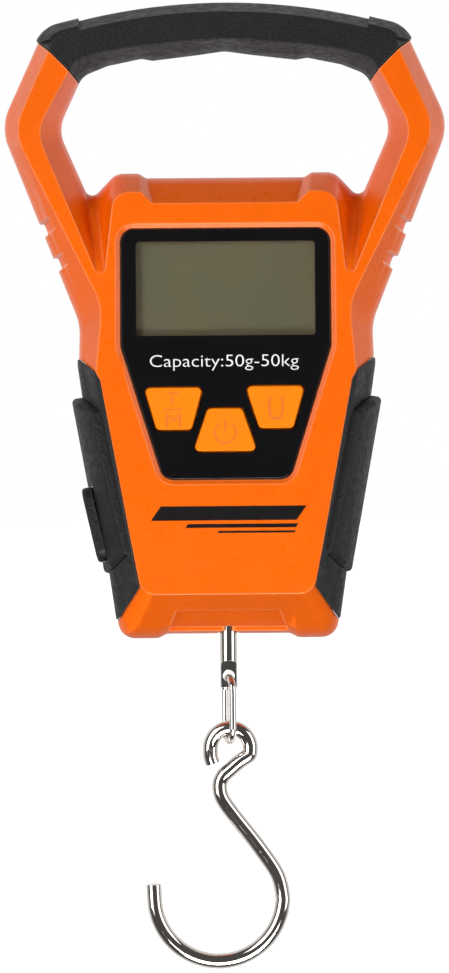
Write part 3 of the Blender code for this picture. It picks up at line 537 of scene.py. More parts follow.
class Graph(Nodes):
    """A new material's nodes."""

    def __init__(self, name, colour, roughness, **sockets):
        self.material = bpy.data.materials.new(name)
        super().__init__(self.material)
        self.shader = self.tree.nodes["Principled BSDF"]
        self.shader.inputs["Base Color"].default_value = (*colour, 1)
        self.shader.inputs["Roughness"].default_value = roughness
        for key, value in sockets.items():
            self.shader.inputs[key.replace("_", " ")].default_value = value
        self.place = self.add("TexCoord").outputs["Object"]

    def noise(self, size, detail=2.0, stretch=(1, 1, 1)):
        """Cloudy noise from 0 to 1 whose blotches are about size millimetres across."""
        place = self.add("Mapping", {"Vector": self.place, "Scale": stretch}).outputs["Vector"]
        scale = 1 / (size * MM)
        return self.add("TexNoise", {"Vector": place, "Scale": scale, "Detail": detail}).outputs["Fac"]

    def cells(self, size):
        """Distance to the nearest of many scattered points about size millimetres apart."""
        sockets = {"Vector": self.place, "Scale": 1 / (size * MM)}
        return self.add("TexVoronoi", sockets, feature="SMOOTH_F1").outputs["Distance"]

    def mixed(self, factor, first, second):
        made = self.add("Mix", data_type="RGBA")
        for index, value in ((0, factor), (6, first), (7, second)):
            if isinstance(value, bpy.types.NodeSocket):
                self.tree.links.new(value, made.inputs[index])
            else:
                made.inputs[index].default_value = value if index == 0 else (*value, 1)
        return made.outputs[2]

    def edges(self, radius, sharp=0.75):
        """1 on sharp edges, fading to 0 within about radius millimetres."""
        soft = self.add("Bevel", {"Radius": radius * MM}, samples=4).outputs["Normal"]
        flat = self.add("NewGeometry").outputs["Normal"]
        dot = self.add("VectorMath", {0: soft, 1: flat}, operation="DOT_PRODUCT").outputs["Value"]
        return self.ranged(dot, 1.0, 0.0, sharp, 0.997)

    def set(self, socket, value):
        self.tree.links.new(value, self.shader.inputs[socket])
        return self

    def uneven_gloss(self, size, detail, low, high):
        """Roughness that wanders between two values in blotches about size millimetres across."""
        self.set("Roughness", self.ranged(self.noise(size, detail), low, high))

    def bump(self, height, depth, soften=0.0):
        """Relief of depth millimetres from a height from 0 to 1, over edges softened by a radius."""
        sockets = {"Height": height, "Distance": depth * MM, "Strength": 1.0}
        if soften:
            sockets["Normal"] = self.add("Bevel", {"Radius": soften * MM}, samples=4).outputs["Normal"]
        return self.set("Normal", self.add("Bump", sockets).outputs["Normal"])


def scaled(colour, amount):
    return tuple(c * amount for c in colour)


def moulded(name, colour, roughness, texture=0.7, depth=0.003, soften=0.15, worn=None, **sockets):
    """Injection-moulded plastic: faint mottling, uneven gloss, fine texture and softened edges, and, when
    its colour is given, a painted highlight along the edges.
    """
    graph = Graph(name, colour, roughness, **sockets)
    base = graph.mixed(graph.ranged(graph.noise(9), 0, 1), scaled(colour, 0.94), colour)
    # Painted highlight: a pale colour along the edges stands in for light caught on the rounded creases.
    if worn:
        base = graph.mixed(graph.maths("MULTIPLY", graph.edges(0.7, 0.95), 0.6), base, worn)
    graph.set("Base Color", base)
    graph.uneven_gloss(3, 4, roughness * 0.85, roughness * 1.2)
    return graph.bump(graph.noise(texture, 3), depth, soften).material


def rubber(name):
    """Soft black over-moulding with a fine leather grain, greyer along its edges."""
    colour = (0.009, 0.009, 0.01)
    graph = Graph(name, colour, 0.55, Specular_IOR_Level=0.3)
    grain = graph.cells(0.8)
    dust = graph.ranged(graph.noise(6, 5), 0, 0.5)
    base = graph.mixed(dust, colour, scaled(colour, 1.5))
    base = graph.mixed(graph.maths("MULTIPLY", graph.edges(0.5), 0.5), base, (0.17, 0.16, 0.16))
    graph.set("Base Color", base)
    graph.uneven_gloss(2, 4, 0.46, 0.68)
    height = graph.maths("ADD", grain, graph.maths("MULTIPLY", graph.noise(0.25, 3), 0.5))
    return graph.bump(height, 0.14, 0.3).material


def polished_steel(name, colour, roughness, streak=(1, 1, 1), depth=0.006):
    """Nickel-plated steel: smooth, with soft smears in the gloss and tiny scratches."""
    graph = Graph(name, colour, roughness, Metallic=1.0)
    smear = graph.noise(4, 5, streak)
    graph.set("Base Color", graph.mixed(graph.ranged(smear, 0, 1), scaled(colour, 0.86), colour))
    graph.uneven_gloss(1.2, 6, roughness * 0.6, roughness * 1.8)
    waves = graph.maths("ADD", graph.noise(1.6, 3), graph.maths("MULTIPLY", graph.noise(0.2, 2), 0.15))
    return graph.bump(waves, depth, 0.1).material


def lens_black(name):
    """The back-printed black of the clear panel, seen through its glossy front."""
    graph = Graph(name, (0.004, 0.0042, 0.005), 0.06, Specular_IOR_Level=0.5)
    graph.uneven_gloss(12, 4, 0.03, 0.11)
    graph.set("Base Color", graph.mixed(graph.noise(20, 3), (0.003, 0.003, 0.0035), (0.006, 0.006, 0.008)))
    return graph.bump(graph.noise(8, 2), 0.004, 0.12).material


def clear_window(name):
    """Clear acrylic: what is behind it, under a faint reflection."""
    graph = Graph(name, (1, 1, 1), 0.03)
    graph.uneven_gloss(10, 4, 0.02, 0.05)
    clear = graph.add("BsdfTransparent", {"Color": (0.97, 0.97, 0.96, 1)})
    gloss = graph.add("Fresnel", {"IOR": 1.45}).outputs["Fac"]
    shine = graph.add("BsdfGlossy", {"Roughness": 0.03, "Color": (1, 1, 1, 1)})
    mix = graph.add("MixShader", {0: gloss, 1: clear.outputs["BSDF"], 2: shine.outputs["BSDF"]})
    output = graph.tree.nodes["Material Output"]
    graph.tree.links.new(mix.outputs["Shader"], output.inputs["Surface"])
    return graph.material


def liquid_crystal(name):
    """An unlit grey-green display, slightly cloudy, with the faint weave of its polariser."""
    graph = Graph(name, (0.31, 0.285, 0.17), 0.35, Specular_IOR_Level=0.3)
    cloudy = graph.ranged(graph.noise(18, 3), 0, 1, 0.35, 0.65)
    base = graph.mixed(cloudy, (0.32, 0.29, 0.172), (0.3, 0.285, 0.178))
    graph.set("Base Color", base)
    graph.uneven_gloss(1.5, 3, 0.28, 0.42)
    return graph.bump(graph.noise(0.12, 2), 0.002).material


def laminate(name):
    """Green board: dark resist over copper tracks."""
    graph = Graph(name, (0.01, 0.10, 0.03), 0.35)
    flat = graph.add("Mapping", {"Vector": graph.place, "Rotation": (math.pi / 2, 0, 0)})
    black, white = (0, 0, 0, 1), (1, 1, 1, 1)
    tracks = graph.add("TexBrick", {
        "Vector": flat.outputs["Vector"], "Scale": 220.0, "Mortar Size": 0.035,
        "Color1": black, "Color2": black, "Mortar": white,
    })
    patches = graph.ranged(graph.noise(9, 1), 0, 1, 0.48, 0.52)
    copper = graph.maths("MULTIPLY", tracks.outputs["Color"], patches)
    graph.set("Base Color", graph.mixed(copper, (0.008, 0.09, 0.03), (0.03, 0.22, 0.06)))
    graph.uneven_gloss(2, 3, 0.28, 0.45)
    return graph.bump(copper, 0.03).material


def measuring_tape(name):
    """Yellow steel tape with a black line every millimetre and longer ones each centimetre."""
    yellow, black = (0.75, 0.55, 0.05), (0.01, 0.01, 0.01)
    graph = Graph(name, yellow, 0.35)
    direction = {0: graph.place, 1: tuple(TAPE_OUT / MM)}
    along = graph.add("VectorMath", direction, operation="DOT_PRODUCT").outputs["Value"]
    across = graph.add("SeparateXYZ", {"Vector": graph.place}).outputs["Y"]
    fine = graph.maths("LESS_THAN", graph.maths("FRACT", along), 0.18)
    edge = graph.maths("LESS_THAN", across, -1.2 * MM)
    coarse = graph.maths("LESS_THAN", graph.maths("FRACT", graph.maths("MULTIPLY", along, 0.1)), 0.035)
    marks = graph.maths("MAXIMUM", graph.maths("MULTIPLY", fine, edge), coarse)
    graph.set("Base Color", graph.mixed(marks, yellow, black))
    graph.uneven_gloss(4, 3, 0.28, 0.42)
    return graph.bump(graph.noise(0.4, 2), 0.004).material


def cell_wrap(name):
    """A printed battery sleeve: dark body, a copper-coloured end and bare steel tips."""
    graph = Graph(name, (0.02, 0.03, 0.08), 0.3)
    along = graph.add("SeparateXYZ", {"Vector": graph.place}).outputs["X"]
    band = graph.maths("LESS_THAN", graph.maths("ABSOLUTE", graph.maths("ADD", along, 12 * MM)), 7 * MM)
    tips = graph.maths("GREATER_THAN", graph.maths("ABSOLUTE", along), 20.4 * MM)
    base = graph.mixed(band, (0.02, 0.03, 0.08), (0.55, 0.24, 0.08))
    graph.set("Base Color", graph.mixed(tips, base, (0.6, 0.6, 0.6)))
    graph.set("Metallic", graph.maths("MAXIMUM", tips, graph.maths("MULTIPLY", band, 0.8)))
    graph.uneven_gloss(3, 3, 0.22, 0.36)
    return graph.bump(graph.noise(0.5, 2), 0.004, 0.2).material


MOULDINGS = {
    # The pale edge colour of orange_plastic is a painted highlight along its creases.
    "orange_plastic": dict(
        colour=(0.93, 0.135, 0.0005), roughness=0.3, worn=(1.0, 0.4, 0.16), Specular_IOR_Level=0.25),
    "orange_silicone": dict(
        colour=(0.95, 0.235, 0.002), roughness=0.55, texture=0.3, depth=0.008, soften=0.3,
        Specular_IOR_Level=0.12),
    # The key marks' darker colour is painted shade, standing in for the shade round their low relief; the
    # marks are the keys' own colour.
    "key_legend": dict(
        colour=(0.80, 0.17, 0.005), roughness=0.45, texture=0.3, depth=0.006, soften=0.1),
    "grey_silicone": dict(colour=(0.25, 0.25, 0.25), roughness=0.6),
    "black_moulding": dict(colour=(0.018, 0.018, 0.02), roughness=0.4),
    "chip_resin": dict(colour=(0.02, 0.02, 0.024), roughness=0.55, texture=0.2, depth=0.01),
    "gauge_foil": dict(colour=(0.62, 0.36, 0.12), roughness=0.35),
    "red_insulation": dict(colour=(0.55, 0.015, 0.012), roughness=0.4),
    "white_print": dict(
        colour=(0.86, 0.86, 0.86), roughness=0.45, texture=0.2, depth=0.002, soften=0.0),
    "black_print": dict(
        colour=(0.006, 0.005, 0.005), roughness=0.5, texture=0.2, depth=0.002, soften=0.0,
        Specular_IOR_Level=0.15),
}
STEELS = {
    "nickel_steel": dict(colour=(0.66, 0.62, 0.585), roughness=0.07),
    "zinc_steel": dict(colour=(0.6, 0.6, 0.62), roughness=0.22),
    "cell_alloy": dict(colour=(0.62, 0.62, 0.64), roughness=0.34, streak=(1, 1, 12), depth=0.01),
    "spring_steel": dict(colour=(0.55, 0.55, 0.56), roughness=0.2),
}
OTHERS = {
    "black_rubber": rubber,
    "smoked_panel": lens_black,
    "clear_window": clear_window,
    "display_cell": liquid_crystal,
    "board_laminate": laminate,
    "battery_jacket": cell_wrap,
    "yellow_tape": measuring_tape,
}
LOOKS = {}


def make_materials():
    """Fills LOOKS with every material by name."""
    for name, values in MOULDINGS.items():
        LOOKS[name] = moulded(name, **values)
    for name, values in STEELS.items():
        LOOKS[name] = polished_steel(name, **values)
    for name, maker in OTHERS.items():
        LOOKS[name] = maker(name)


# ---------------- casing

def grip_bar_zone(margin):
    """Everything above the two slanted cuts that end the soft grip on the handle's bar."""
    low, high = -18.0, 20.0
    reach = GRIP_END - margin
    outline = ((-reach - low, low), (-reach - high, high), (reach + high, high), (reach + low, low))
    return prism("bar_zone", outline, -FAR, FAR)


def pad_zone(sign, margin):
    """The prism over one side of the body that the soft side grip fills."""
    outline = [(sign * x, z) for x, z in rounded(moved(filleted(PAD_EDGE, 0.3, 1), margin))]
    return prism("pad_zone", outline, -FAR, FAR)


def notches(sign, side):
    """The two round-ended notches in a column's outer side; their floors sink towards the face."""
    (top_x, top_z), (low_x, low_z) = (corner[:2] for corner in OUTER_JOINT[2:4])
    slope = (top_x - low_x) / (top_z - low_z)
    half, corner, floor, sink, outside = 2.1, 1.2, -1.3, 0.26, 8
    for z in NOTCH_HEIGHTS:
        levels = []
        for y in (-1.0, HALF_DEPTH + 0.5):
            inner = floor - sink * y
            shape = ((inner, half), (outside, half), (outside, -half), (inner, -half))
            levels.append((side * y, [(sign * a, b) for a, b in rounded(filleted(shape, corner))]))
        notch = lofted("notch", levels)
        centre = (sign * (top_x - (top_z - z) * slope), 0, z)
        notch.data.transform(shift(centre) @ Matrix.Rotation(sign * math.atan(slope), 4, "Y"))
        yield notch


def tape_way(length, inwards):
    """The slot that the tape leaves by, centred a distance inwards from the tab."""
    size = (length, TAPE_WAY_WIDTH, TAPE_WAY_HEIGHT)
    return slanted_box("tape_way", TAB_CENTRE - TAPE_OUT * inwards, size, -TAPE_LEAN)


def chin_recess(side):
    """The shallow recess in the sloping chin, open at the bottom."""
    top, bottom, narrow, wide, start = -167.8, -178, 14.9, 18.9, 3
    outline = ((-wide, bottom), (-narrow, top), (narrow, top), (wide, bottom))
    recess = prism("recess", outline, side * start, side * FAR)
    return cut(recess, casing("under", side, CHIN_SKIN, past_joint=PAST))


def shell(name, side):
    """One shell: walls, seats for the soft grips, screw bosses and the ways out for rod and tape."""
    body = casing(name, side, 0)
    cut(body, cavity("hollow", side))
    seat = casing("seat", side, GRIP_SKIN, past_joint=PAST)
    for zone in (grip_bar_zone(0), pad_zone(1, 0), pad_zone(-1, 0)):
        cut(zone, seat, keep_tool=True)
        cut(body, zone)
    bpy.data.objects.remove(seat)
    for sign in (1, -1):
        for notch in notches(sign, side):
            cut(body, notch)
        for (x, z), end in zip(HOUSING_SCREWS, POST_ENDS):
            join(body, peg("post", sign * x, z, side * GAP, side * end, POST_RADIUS))
    cut(body, cylinder("rod_way", (0, 0, -185), (0, 0, -155), ROD_RADIUS + 0.7))
    cut(body, tape_way(18, 8))
    return cut(body, chin_recess(side))


def lens_lip():
    """The bevel that runs round the panel's pocket, from the face down to the panel."""
    band, low, above = 1.5, LENS_FRONT - 0.1, 1.0
    rate = (band - GAP) / (HALF_DEPTH - low)
    shape = mirrored(LENS)
    top = rounded(moved(shape, -band - rate * above))
    return lofted("lip", ((-HALF_DEPTH - above, top), (-low, rounded(moved(shape, -GAP)))))


def front_case():
    """The display side: pocket for the panel, window, key holes and posts for the circuit board."""
    body = shell("front_case", -1)
    cut(body, lens_lip())
    cut(body, prism("pocket", rounded(moved(mirrored(LENS), -GAP)), -FAR, -POCKET_FLOOR))
    half, top, bottom = WINDOW
    inside = -8
    cut(body, box("window", (-half, -HALF_DEPTH, bottom), (half, inside, top)))
    for corners in KEYS.values():
        cut(body, prism("key_way", key_outline(corners, KEY_CLEARANCE), -HALF_DEPTH, inside))
    root, seat = -CAVITY_DEPTH - 0.6, -BOARD_FRONT - GAP
    for sign in (1, -1):
        for x, z in HOUSING_SCREWS:
            cut(body, peg("pilot", sign * x, z, -9, 1, SCREW_HOLE, 12))
        for x, z in BOARD_SCREWS:
            join(body, peg("post", sign * x, z, root, seat, BOARD_POST_RADIUS, 12))
            cut(body, peg("pilot", sign * x, z, -BOARD_FRONT - 3.9, -BOARD_FRONT + 0.1, BOARD_SCREW_HOLE, 8))
    finish(body, "housing", "orange_plastic", "front_shell")


def thumb_hollow(depth):
    """The hollow for a thumb at the door's free edge."""
    return ellipsoid("thumb", (0, HALF_DEPTH + 3.2, DOOR_TOP + 2.4), (8.5, depth, 3.6))


def rear_case():
    """The back: battery tray and doorway, screw counterbores and the block behind the load cell."""
    body = shell("rear_case", 1)
    half, top, bottom, wall, floor, back = DOOR_HALF_WIDTH - 0.5, -61.0, -87.0, 1.3, 0.6, 12
    join(body, box("tray", (-half, -floor, bottom), (half, back, top)))
    cut(body, box("bay", (wall - half, floor, bottom + wall), (half - wall, FAR, top - wall)))
    cut(body, prism("doorway", door_outline(-GAP), HALF_DEPTH - DOOR_THICKNESS - GAP, FAR))
    block_start = LOAD_CELL_DEPTH + GAP
    join(body, box("block", (-8, block_start, BOLT_Z - 4), (8, back, BOLT_Z + 4)))
    for sign in (1, -1):
        for x, z in HOUSING_SCREWS:
            cut(body, peg("wide", sign * x, z, SCREW_SEAT, SCREW_SEAT + 16, COUNTERBORE, 32))
            cut(body, peg("narrow", sign * x, z, -1, 7, SCREW_HOLE, 12))
        cut(body, peg("pilot", sign * BOLT_X, BOLT_Z, 3.5, 10.5, BOLT_HOLE, 12))
    cut(body, thumb_hollow(4.6))
    finish(body, "housing", "orange_plastic", "rear_shell")


def bar_grip(name, side):
    """Half of the soft sleeve on the handle's bar, with slightly raised end caps."""
    grip = casing(name, side, 0)
    raised = casing("raised", side, -CAP_PROUD)
    half, top, bottom, outside = 44.2, 30, -4, 80
    shape = ((-outside, top), (-half - 3, top), (-half + 3.5, bottom), (-outside, bottom))
    near, far = sorted((side * 0.15, side * 12.6))
    for sign in (1, -1):
        cap = prism("cap", [(-sign * x, z) for x, z in shape], near, far)
        keep_inside(cap, raised, keep_tool=True)
        join(grip, cap)
    bpy.data.objects.remove(raised)
    keep_inside(grip, grip_bar_zone(GAP * 1.5))
    cut(grip, casing("core", side, GRIP_SKIN - GAP, past_joint=PAST, finer=COARSE))
    node = "handle_grip_front" if side < 0 else "handle_grip_rear"
    finish(grip, "housing", "black_rubber", node)


def rib_groove(rib, side):
    """A shallow groove in the pad all round its rib."""
    wide, deep = 0.5, 0.6
    around = linked("rib_groove", rib.data.copy())
    low, high = ([pick(v.co[i] for v in rib.data.vertices) for i in range(3)] for pick in (min, max))
    middle = Vector(low).lerp(high, 0.5)
    grown = [1 + 2 * wide * MM / (b - a) for a, b in zip(low, high)]
    growth = Matrix.Diagonal((*grown, 1))
    around.data.transform(Matrix.Translation(middle) @ growth @ Matrix.Translation(-middle))
    under = casing("under", side, deep - PAD_PROUD, opening=False, past_joint=PAST)
    return cut(around, under)


def side_pad(name, sign, side):
    """Half of a soft side grip, with its raised rib, and on the left the pocket for the tape's tab."""
    grip = casing(name, side, -PAD_PROUD, opening=False)
    joint, face = (filleted(points, RIB_CORNER) for points in (RIB_JOINT, RIB_FACE))
    levels = []
    for y, share in ((0.3, 0.0), (RIB_DEPTH * 0.5, 0.3), (RIB_DEPTH - 0.5, 0.96), (RIB_DEPTH, 1.08)):
        levels.append((side * y, [(sign * x, z) for x, z in rounded(between(joint, face, share))]))
    rib = lofted("rib", levels)
    cut(grip, rib_groove(rib, side))
    join(grip, rib)
    if sign < 0:
        seat_size = (TAB_THICKNESS + 6.6, TAB_WIDTH + 0.4, TAB_LENGTH + 0.14)
        cut(grip, slanted_box("tab_seat", TAB_CENTRE + TAPE_OUT * 3, seat_size, -TAPE_LEAN))
        cut(grip, tape_way(16, 6))
    keep_inside(grip, pad_zone(sign, PAD_MARGIN))
    cut(grip, casing("core", side, GRIP_SKIN - GAP, opening=False, past_joint=PAST, finer=COARSE))
    hand, half = ("left" if sign < 0 else "right"), ("front" if side < 0 else "rear")
    finish(grip, "housing", "black_rubber", f"side_grip_{hand}_{half}", crease=18)


# ---------------- panel, display and keys

def key_outline(corners, margin):
    return rounded(moved(filleted(corners, KEY_CORNER), -margin))


def window_outline(margin):
    return rounded(moved(rectangle(*WINDOW, 0.8), -margin))


def panel():
    """The glossy black panel, clear over the display, with a hole for each key."""
    shape, edge = mirrored(LENS), 0.25
    back = -POCKET_FLOOR - GAP
    outline = rounded(shape)
    rim = rounded(moved(shape, edge))
    lens = lofted("panel", ((-LENS_FRONT, rim), (-LENS_FRONT + edge, outline), (back, outline)))
    for corners in KEYS.values():
        cut(lens, prism("key_way", key_outline(corners, KEY_CLEARANCE), -16, -10))
    cut(lens, prism("window_way", window_outline(0.0), -16, -10))
    finish(lens, "housing", "smoked_panel", "face_lens")
    pane = prism("panel_window", window_outline(-0.02), -LENS_FRONT, back)
    finish(pane, "housing", "clear_window", slot="smoked_panel")


def display():
    """The liquid-crystal cell: two glass plates, the front one shorter than the one behind it."""
    low, high = (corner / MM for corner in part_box("lcd_glass"))
    glass = box("display_glass", low, high)
    step_back, step_up = 0.7, 0.9
    ledge_low, ledge_high = low - Vector((1, 1, 1)), (high.x + 1, low.y + step_back, low.z + step_up)
    cut(glass, box("ledge", ledge_low, ledge_high))
    finish(glass, "housing", "display_cell", "lcd_glass")


def lettering(name, text, low, high, front, thickness, look, body, embolden=0.0):
    """Characters that fill the rectangle from low to high (x, z), with their front at -Y front."""
    curve = bpy.data.curves.new(name, "FONT")
    curve.body = text
    curve.extrude = 0.1
    curve.offset = embolden
    curve.resolution_u = 6
    mesh = mesh_of_curve(name + "_text", curve)
    xs, ys, _ = zip(*(vertex.co for vertex in mesh.vertices))
    for vertex in mesh.vertices:
        x = low[0] + (vertex.co.x - min(xs)) / (max(xs) - min(xs)) * (high[0] - low[0])
        z = low[1] + (vertex.co.y - min(ys)) / (max(ys) - min(ys)) * (high[1] - low[1])
        y = -front if vertex.co.z > 0 else -front + thickness
        vertex.co = Vector((x, y, z)) * MM
    finish(new_object_from(name, mesh), body, look, weld_flat=False)


def keys():
    """The three keys, with rounded fronts, and the marks raised on them."""
    front = CAVITY_DEPTH - GAP
    stem_end = DOME_TOP + KEY_TRAVEL + 0.1
    for name, corners in KEYS.items():
        shape = filleted(corners, KEY_CORNER)
        levels = [(-front + 0.4, rounded(shape)), *round_over(shape, -KEY_FRONT, KEY_EDGE, 4)]
        key = lofted(name + "_cap", levels)
        join(key, prism("foot", key_outline(corners, KEY_FLANGE), -front, -front + 0.9))
        middle_x, middle_z = (sum(values) / 4 for values in zip(*corners))
        join(key, peg("stem", middle_x, middle_z, -front, -stem_end, 1.5, 16))
        finish(key, name, "orange_silicone", name)
    tare_marks()
    key_letter("unit_key_letter", "U", (12.0, -113.4), (16.4, -106.8), "unit_key")
    power_mark()


def key_letter(name, text, low, high, key):
    lettering(name, text, low, high, MARK_FRONT, MARK_THICKNESS, "key_legend", key)


def key_mark(name, outline, key):
    """A flat raised mark on a key."""
    mark = prism(name, outline, -MARK_FRONT, -MARK_FRONT + MARK_THICKNESS)
    finish(mark, key, "key_legend")


def tare_marks():
    """T over M, with a line between them."""
    key_letter("tare_key_letter", "T", (-17.0, -109.0), (-13.8, -105.3), "tare_key")
    key_letter("tare_key_memory_letter", "M", (-17.4, -115.3), (-13.0, -111.4), "tare_key")
    key_mark("tare_key_rule", upright(-18.0, -12.4, -110.5, -110.1), "tare_key")


def power_mark():
    """The broken ring and upright bar of the usual on-off sign."""
    centre, radius, line = (-0.35, -116.9), 3.0, 0.28
    ring = [*arc(centre, radius + line, 55, -235, 40), *arc(centre, radius - line, -235, 55, 40)]
    key_mark("power_key_ring", ring, "power_key")
    bar = upright(centre[0] - line, centre[0] + line, centre[1] + 0.4, centre[1] + 3.9)
    key_mark("power_key_bar", bar, "power_key")


def printing():
    """The capacity line on the panel and a plain striped graphic on the casing below it."""
    low, high, thickness = (-21.8, -99.1), (20.8, -94.6), 0.05
    lettering("capacity_line", "Capacity:50g-50kg", low, high, LENS_FRONT + 0.03, thickness,
              "white_print", "housing", embolden=-0.01)
    front, lean = HALF_DEPTH + 0.02, 0.35
    stripes = {
        "stripe_wide": (-20.4, 21.3, -137.9, -142.0),
        "stripe_narrow": (-11.6, 20.0, -143.0, -144.1),
        "stripe_thin": (-2.6, 19.4, -145.0, -145.6),
    }
    for name, (left, right, top, bottom) in stripes.items():
        slant = (top - bottom) * lean
        outline = (
            (left - slant, bottom), (left + slant, top), (right + slant, top), (right - slant, bottom),
        )
        finish(prism(name, outline, -front, -front + thickness), "housing", "black_print")


# ---------------- weighing gear

def smooth_path(points, spans=4):
    """A finer path through the same points, curved by Catmull and Rom's rule."""
    points = [Vector(p) for p in points]
    result = []
    for index in range(len(points) - 1):
        a = points[max(index - 1, 0)]
        b, c = points[index], points[index + 1]
        d = points[min(index + 2, len(points) - 1)]
        for step in range(spans):
            t = step / spans
            square, cube = 2 * a - 5 * b + 4 * c - d, 3 * b - 3 * c + d - a
            result.append(0.5 * (2 * b + (c - a) * t + square * t * t + cube * t * t * t))
    return result + [points[-1]]


def hanger():
    """The swivelling rod: round, then flattened under an arched shoulder and drilled for the link."""
    rod = cylinder("hanger_rod", (0, 0, HANGER_END_Z), (0, 0, ROD_TOP), ROD_RADIUS, 48)
    arch_half, arch_height, outside, steps = 2.9, 2.0, 5, 16
    foot, low = FLAT_START_Z - arch_height, HANGER_END_Z - 3
    arch = [(outside, low), (outside, foot)]
    for step in range(steps + 1):
        angle = math.pi * step / steps
        arch.append((arch_half * math.cos(angle), foot + arch_height * math.sin(angle)))
    arch += [(-outside, foot), (-outside, low)]
    for sign in (1, -1):
        near, far = sorted((sign * HANGER_HALF_FLAT, sign * outside))
        cut(rod, prism("flat", arch, near, far))
    cut(rod, peg("hole", 0, HANGER_HOLE_Z, -4, 4, HANGER_HOLE_RADIUS, 32))
    finish(rod, "hanger", "nickel_steel", "hanger")


def connecting_link():
    """The oval ring between hanger and hook."""
    upper = arc((0, LINK_TOP - LINK_RADIUS), LINK_RADIUS, 0, 180, 24)
    lower = arc((0, LINK_BOTTOM + LINK_RADIUS), LINK_RADIUS, 180, 360, 24)
    across = Vector((math.sin(LINK_TURN), math.cos(LINK_TURN), 0))
    points = [across * y + Vector((0, 0, z)) for y, z in (*upper, *lower)]
    ring = tube("link_ring", points, LINK_WIRE, 6, closed=True)
    finish(ring, "connecting_link", "nickel_steel", "connecting_link")


def hook():
    """One bent wire: an eye that starts behind the neck, a slanting shank, a round bowl and its tip."""
    eye, straightened = [], 9
    for index, (x, z) in enumerate(arc(EYE_CENTRE, EYE_RADIUS, 180, -20, 20)):
        eye.append((x, EYE_BEHIND * max(0, 1 - index / straightened), z))
    bowl = arc(BOWL_CENTRE, BOWL_RADIUS, 0, -180, 20)
    tip = (BOWL_CENTRE[0] - BOWL_RADIUS - 0.2, BOWL_CENTRE[1] + 3.9)
    rest = [(x, 0, z) for x, z in (*SHANK, *bowl, tip)]
    path = smooth_path([*EYE_END, *eye, *rest])
    near_start, near_end = path[0].lerp(path[1], 0.25), path[-1].lerp(path[-2], 0.25)
    path = [path[0], near_start, *path[1:-1], near_end, path[-1]]
    wire = tube("hook_wire", path, HOOK_WIRE, 10, round_end=0.35)
    finish(wire, "hook", "nickel_steel", "hook", weld_flat=False)


# ---------------- back

def door_outline(margin):
    return rounded(moved(rectangle(DOOR_HALF_WIDTH, DOOR_TOP, DOOR_BOTTOM, 1.6), margin))


def battery_door():
    """The door: rounded corners, a softened rim, grip ribs and a thumb hollow at its free edge."""
    edge = 0.35
    door = lofted("battery_cover", (
        (HALF_DEPTH - DOOR_THICKNESS, door_outline(0)), (HALF_DEPTH - edge, door_outline(0)),
        (HALF_DEPTH, door_outline(edge)),
    ))
    cut(door, thumb_hollow(4.2))
    rows, pitch, half_height, longest = 5, 1.5, 0.35, 11
    for row in range(rows):
        z = DOOR_TOP - 4.2 - row * pitch
        groove = rectangle(longest - row * pitch, z + half_height, z - half_height, 0.3)
        cut(door, prism("groove", rounded(groove), HALF_DEPTH - 0.45, FAR))
    sunk = rectangle(DOOR_HALF_WIDTH * 0.93, DOOR_TOP - 13.0, DOOR_BOTTOM + 2.2, 1.5)
    cut(door, prism("sunk_panel", rounded(sunk), HALF_DEPTH - 0.3, FAR))
    finish(door, "battery_door", "orange_plastic", "battery_door")


def housing_screws():
    """The screws from the back: domed heads with a cross recess."""
    seat, tip = SCREW_SEAT + GAP, -6.5
    head_radius, dome_radius, shank_radius = 2.2, 1.5, 1.1
    slot_reach, slot_half, twist = 1.35, 0.28, 0.4
    for row, (x, z) in zip(("upper", "middle", "lower"), HOUSING_SCREWS):
        for hand, sign in (("right", 1), ("left", -1)):
            name = f"case_screw_{row}_{hand}"
            screw = peg(name, sign * x, z, seat, seat + 1.3, head_radius, 32)
            join(screw, peg("dome", sign * x, z, seat + 1.25, seat + 1.75, head_radius, 32, dome_radius))
            join(screw, peg("shank", sign * x, z, tip, seat + 0.3, shank_radius, 16))
            for turn in (0, math.pi / 2):
                slot = box("slot", (-slot_reach, -1.2, -slot_half), (slot_reach, 1.2, slot_half))
                turned = Matrix.Rotation(turn + twist * sign, 4, "Y")
                slot.data.transform(shift((sign * x, seat + 1.9, z)) @ turned)
                cut(screw, slot)
            finish(screw, "housing", "zinc_steel", f"housing_screw_{row}_{hand}")


# ---------------- tape measure

def tape_tab():
    """The rounded finger tab at the tape's end, with a dished face."""
    shape = rectangle(TAB_WIDTH / 2, TAB_LENGTH / 2, -TAB_LENGTH / 2, 4.2, 4)
    half, edge, back_edge = TAB_THICKNESS / 2, 0.9, 0.3
    back = [(-half, rounded(moved(shape, back_edge))), (-half + back_edge, rounded(shape))]
    tab = lofted("pull_tab", [*back, *round_over(shape, half, edge, 5)])
    cut(tab, ellipsoid("dish", (0, half + 1.75, 0), (3.4, 2.4, 7.6)))
    face_left = Matrix.Rotation(math.radians(90), 4, "Z")
    lean = Matrix.Rotation(-TAPE_LEAN, 4, "Y")
    tab.data.transform(shift(TAB_CENTRE) @ lean @ face_left)
    finish(tab, "tape_tab", "black_rubber", "tape_tab")


def tape():
    """The free tape between the coil and the tab, which lengthens as the tab is pulled."""
    length = (TAB_CENTRE - TAPE_START).length - TAB_THICKNESS / 2 - GAP
    steps, half_width, half_thickness = 160, TAPE_WIDTH / 2, 0.1
    section = upright(-half_width, half_width, -half_thickness, half_thickness)
    strip = lofted("free_tape", [(length * step / steps, section) for step in range(steps + 1)])
    above = (-TAPE_OUT.z, 0, TAPE_OUT.x)
    turn = Matrix(((0, -1, 0), TAPE_OUT, above)).transposed().to_4x4()
    strip.data.transform(shift(TAPE_START) @ turn)
    finish(strip, None, "yellow_tape", "tape_strip", weld_flat=False)
    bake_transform(strip)


# ---------------- parts kept from the model

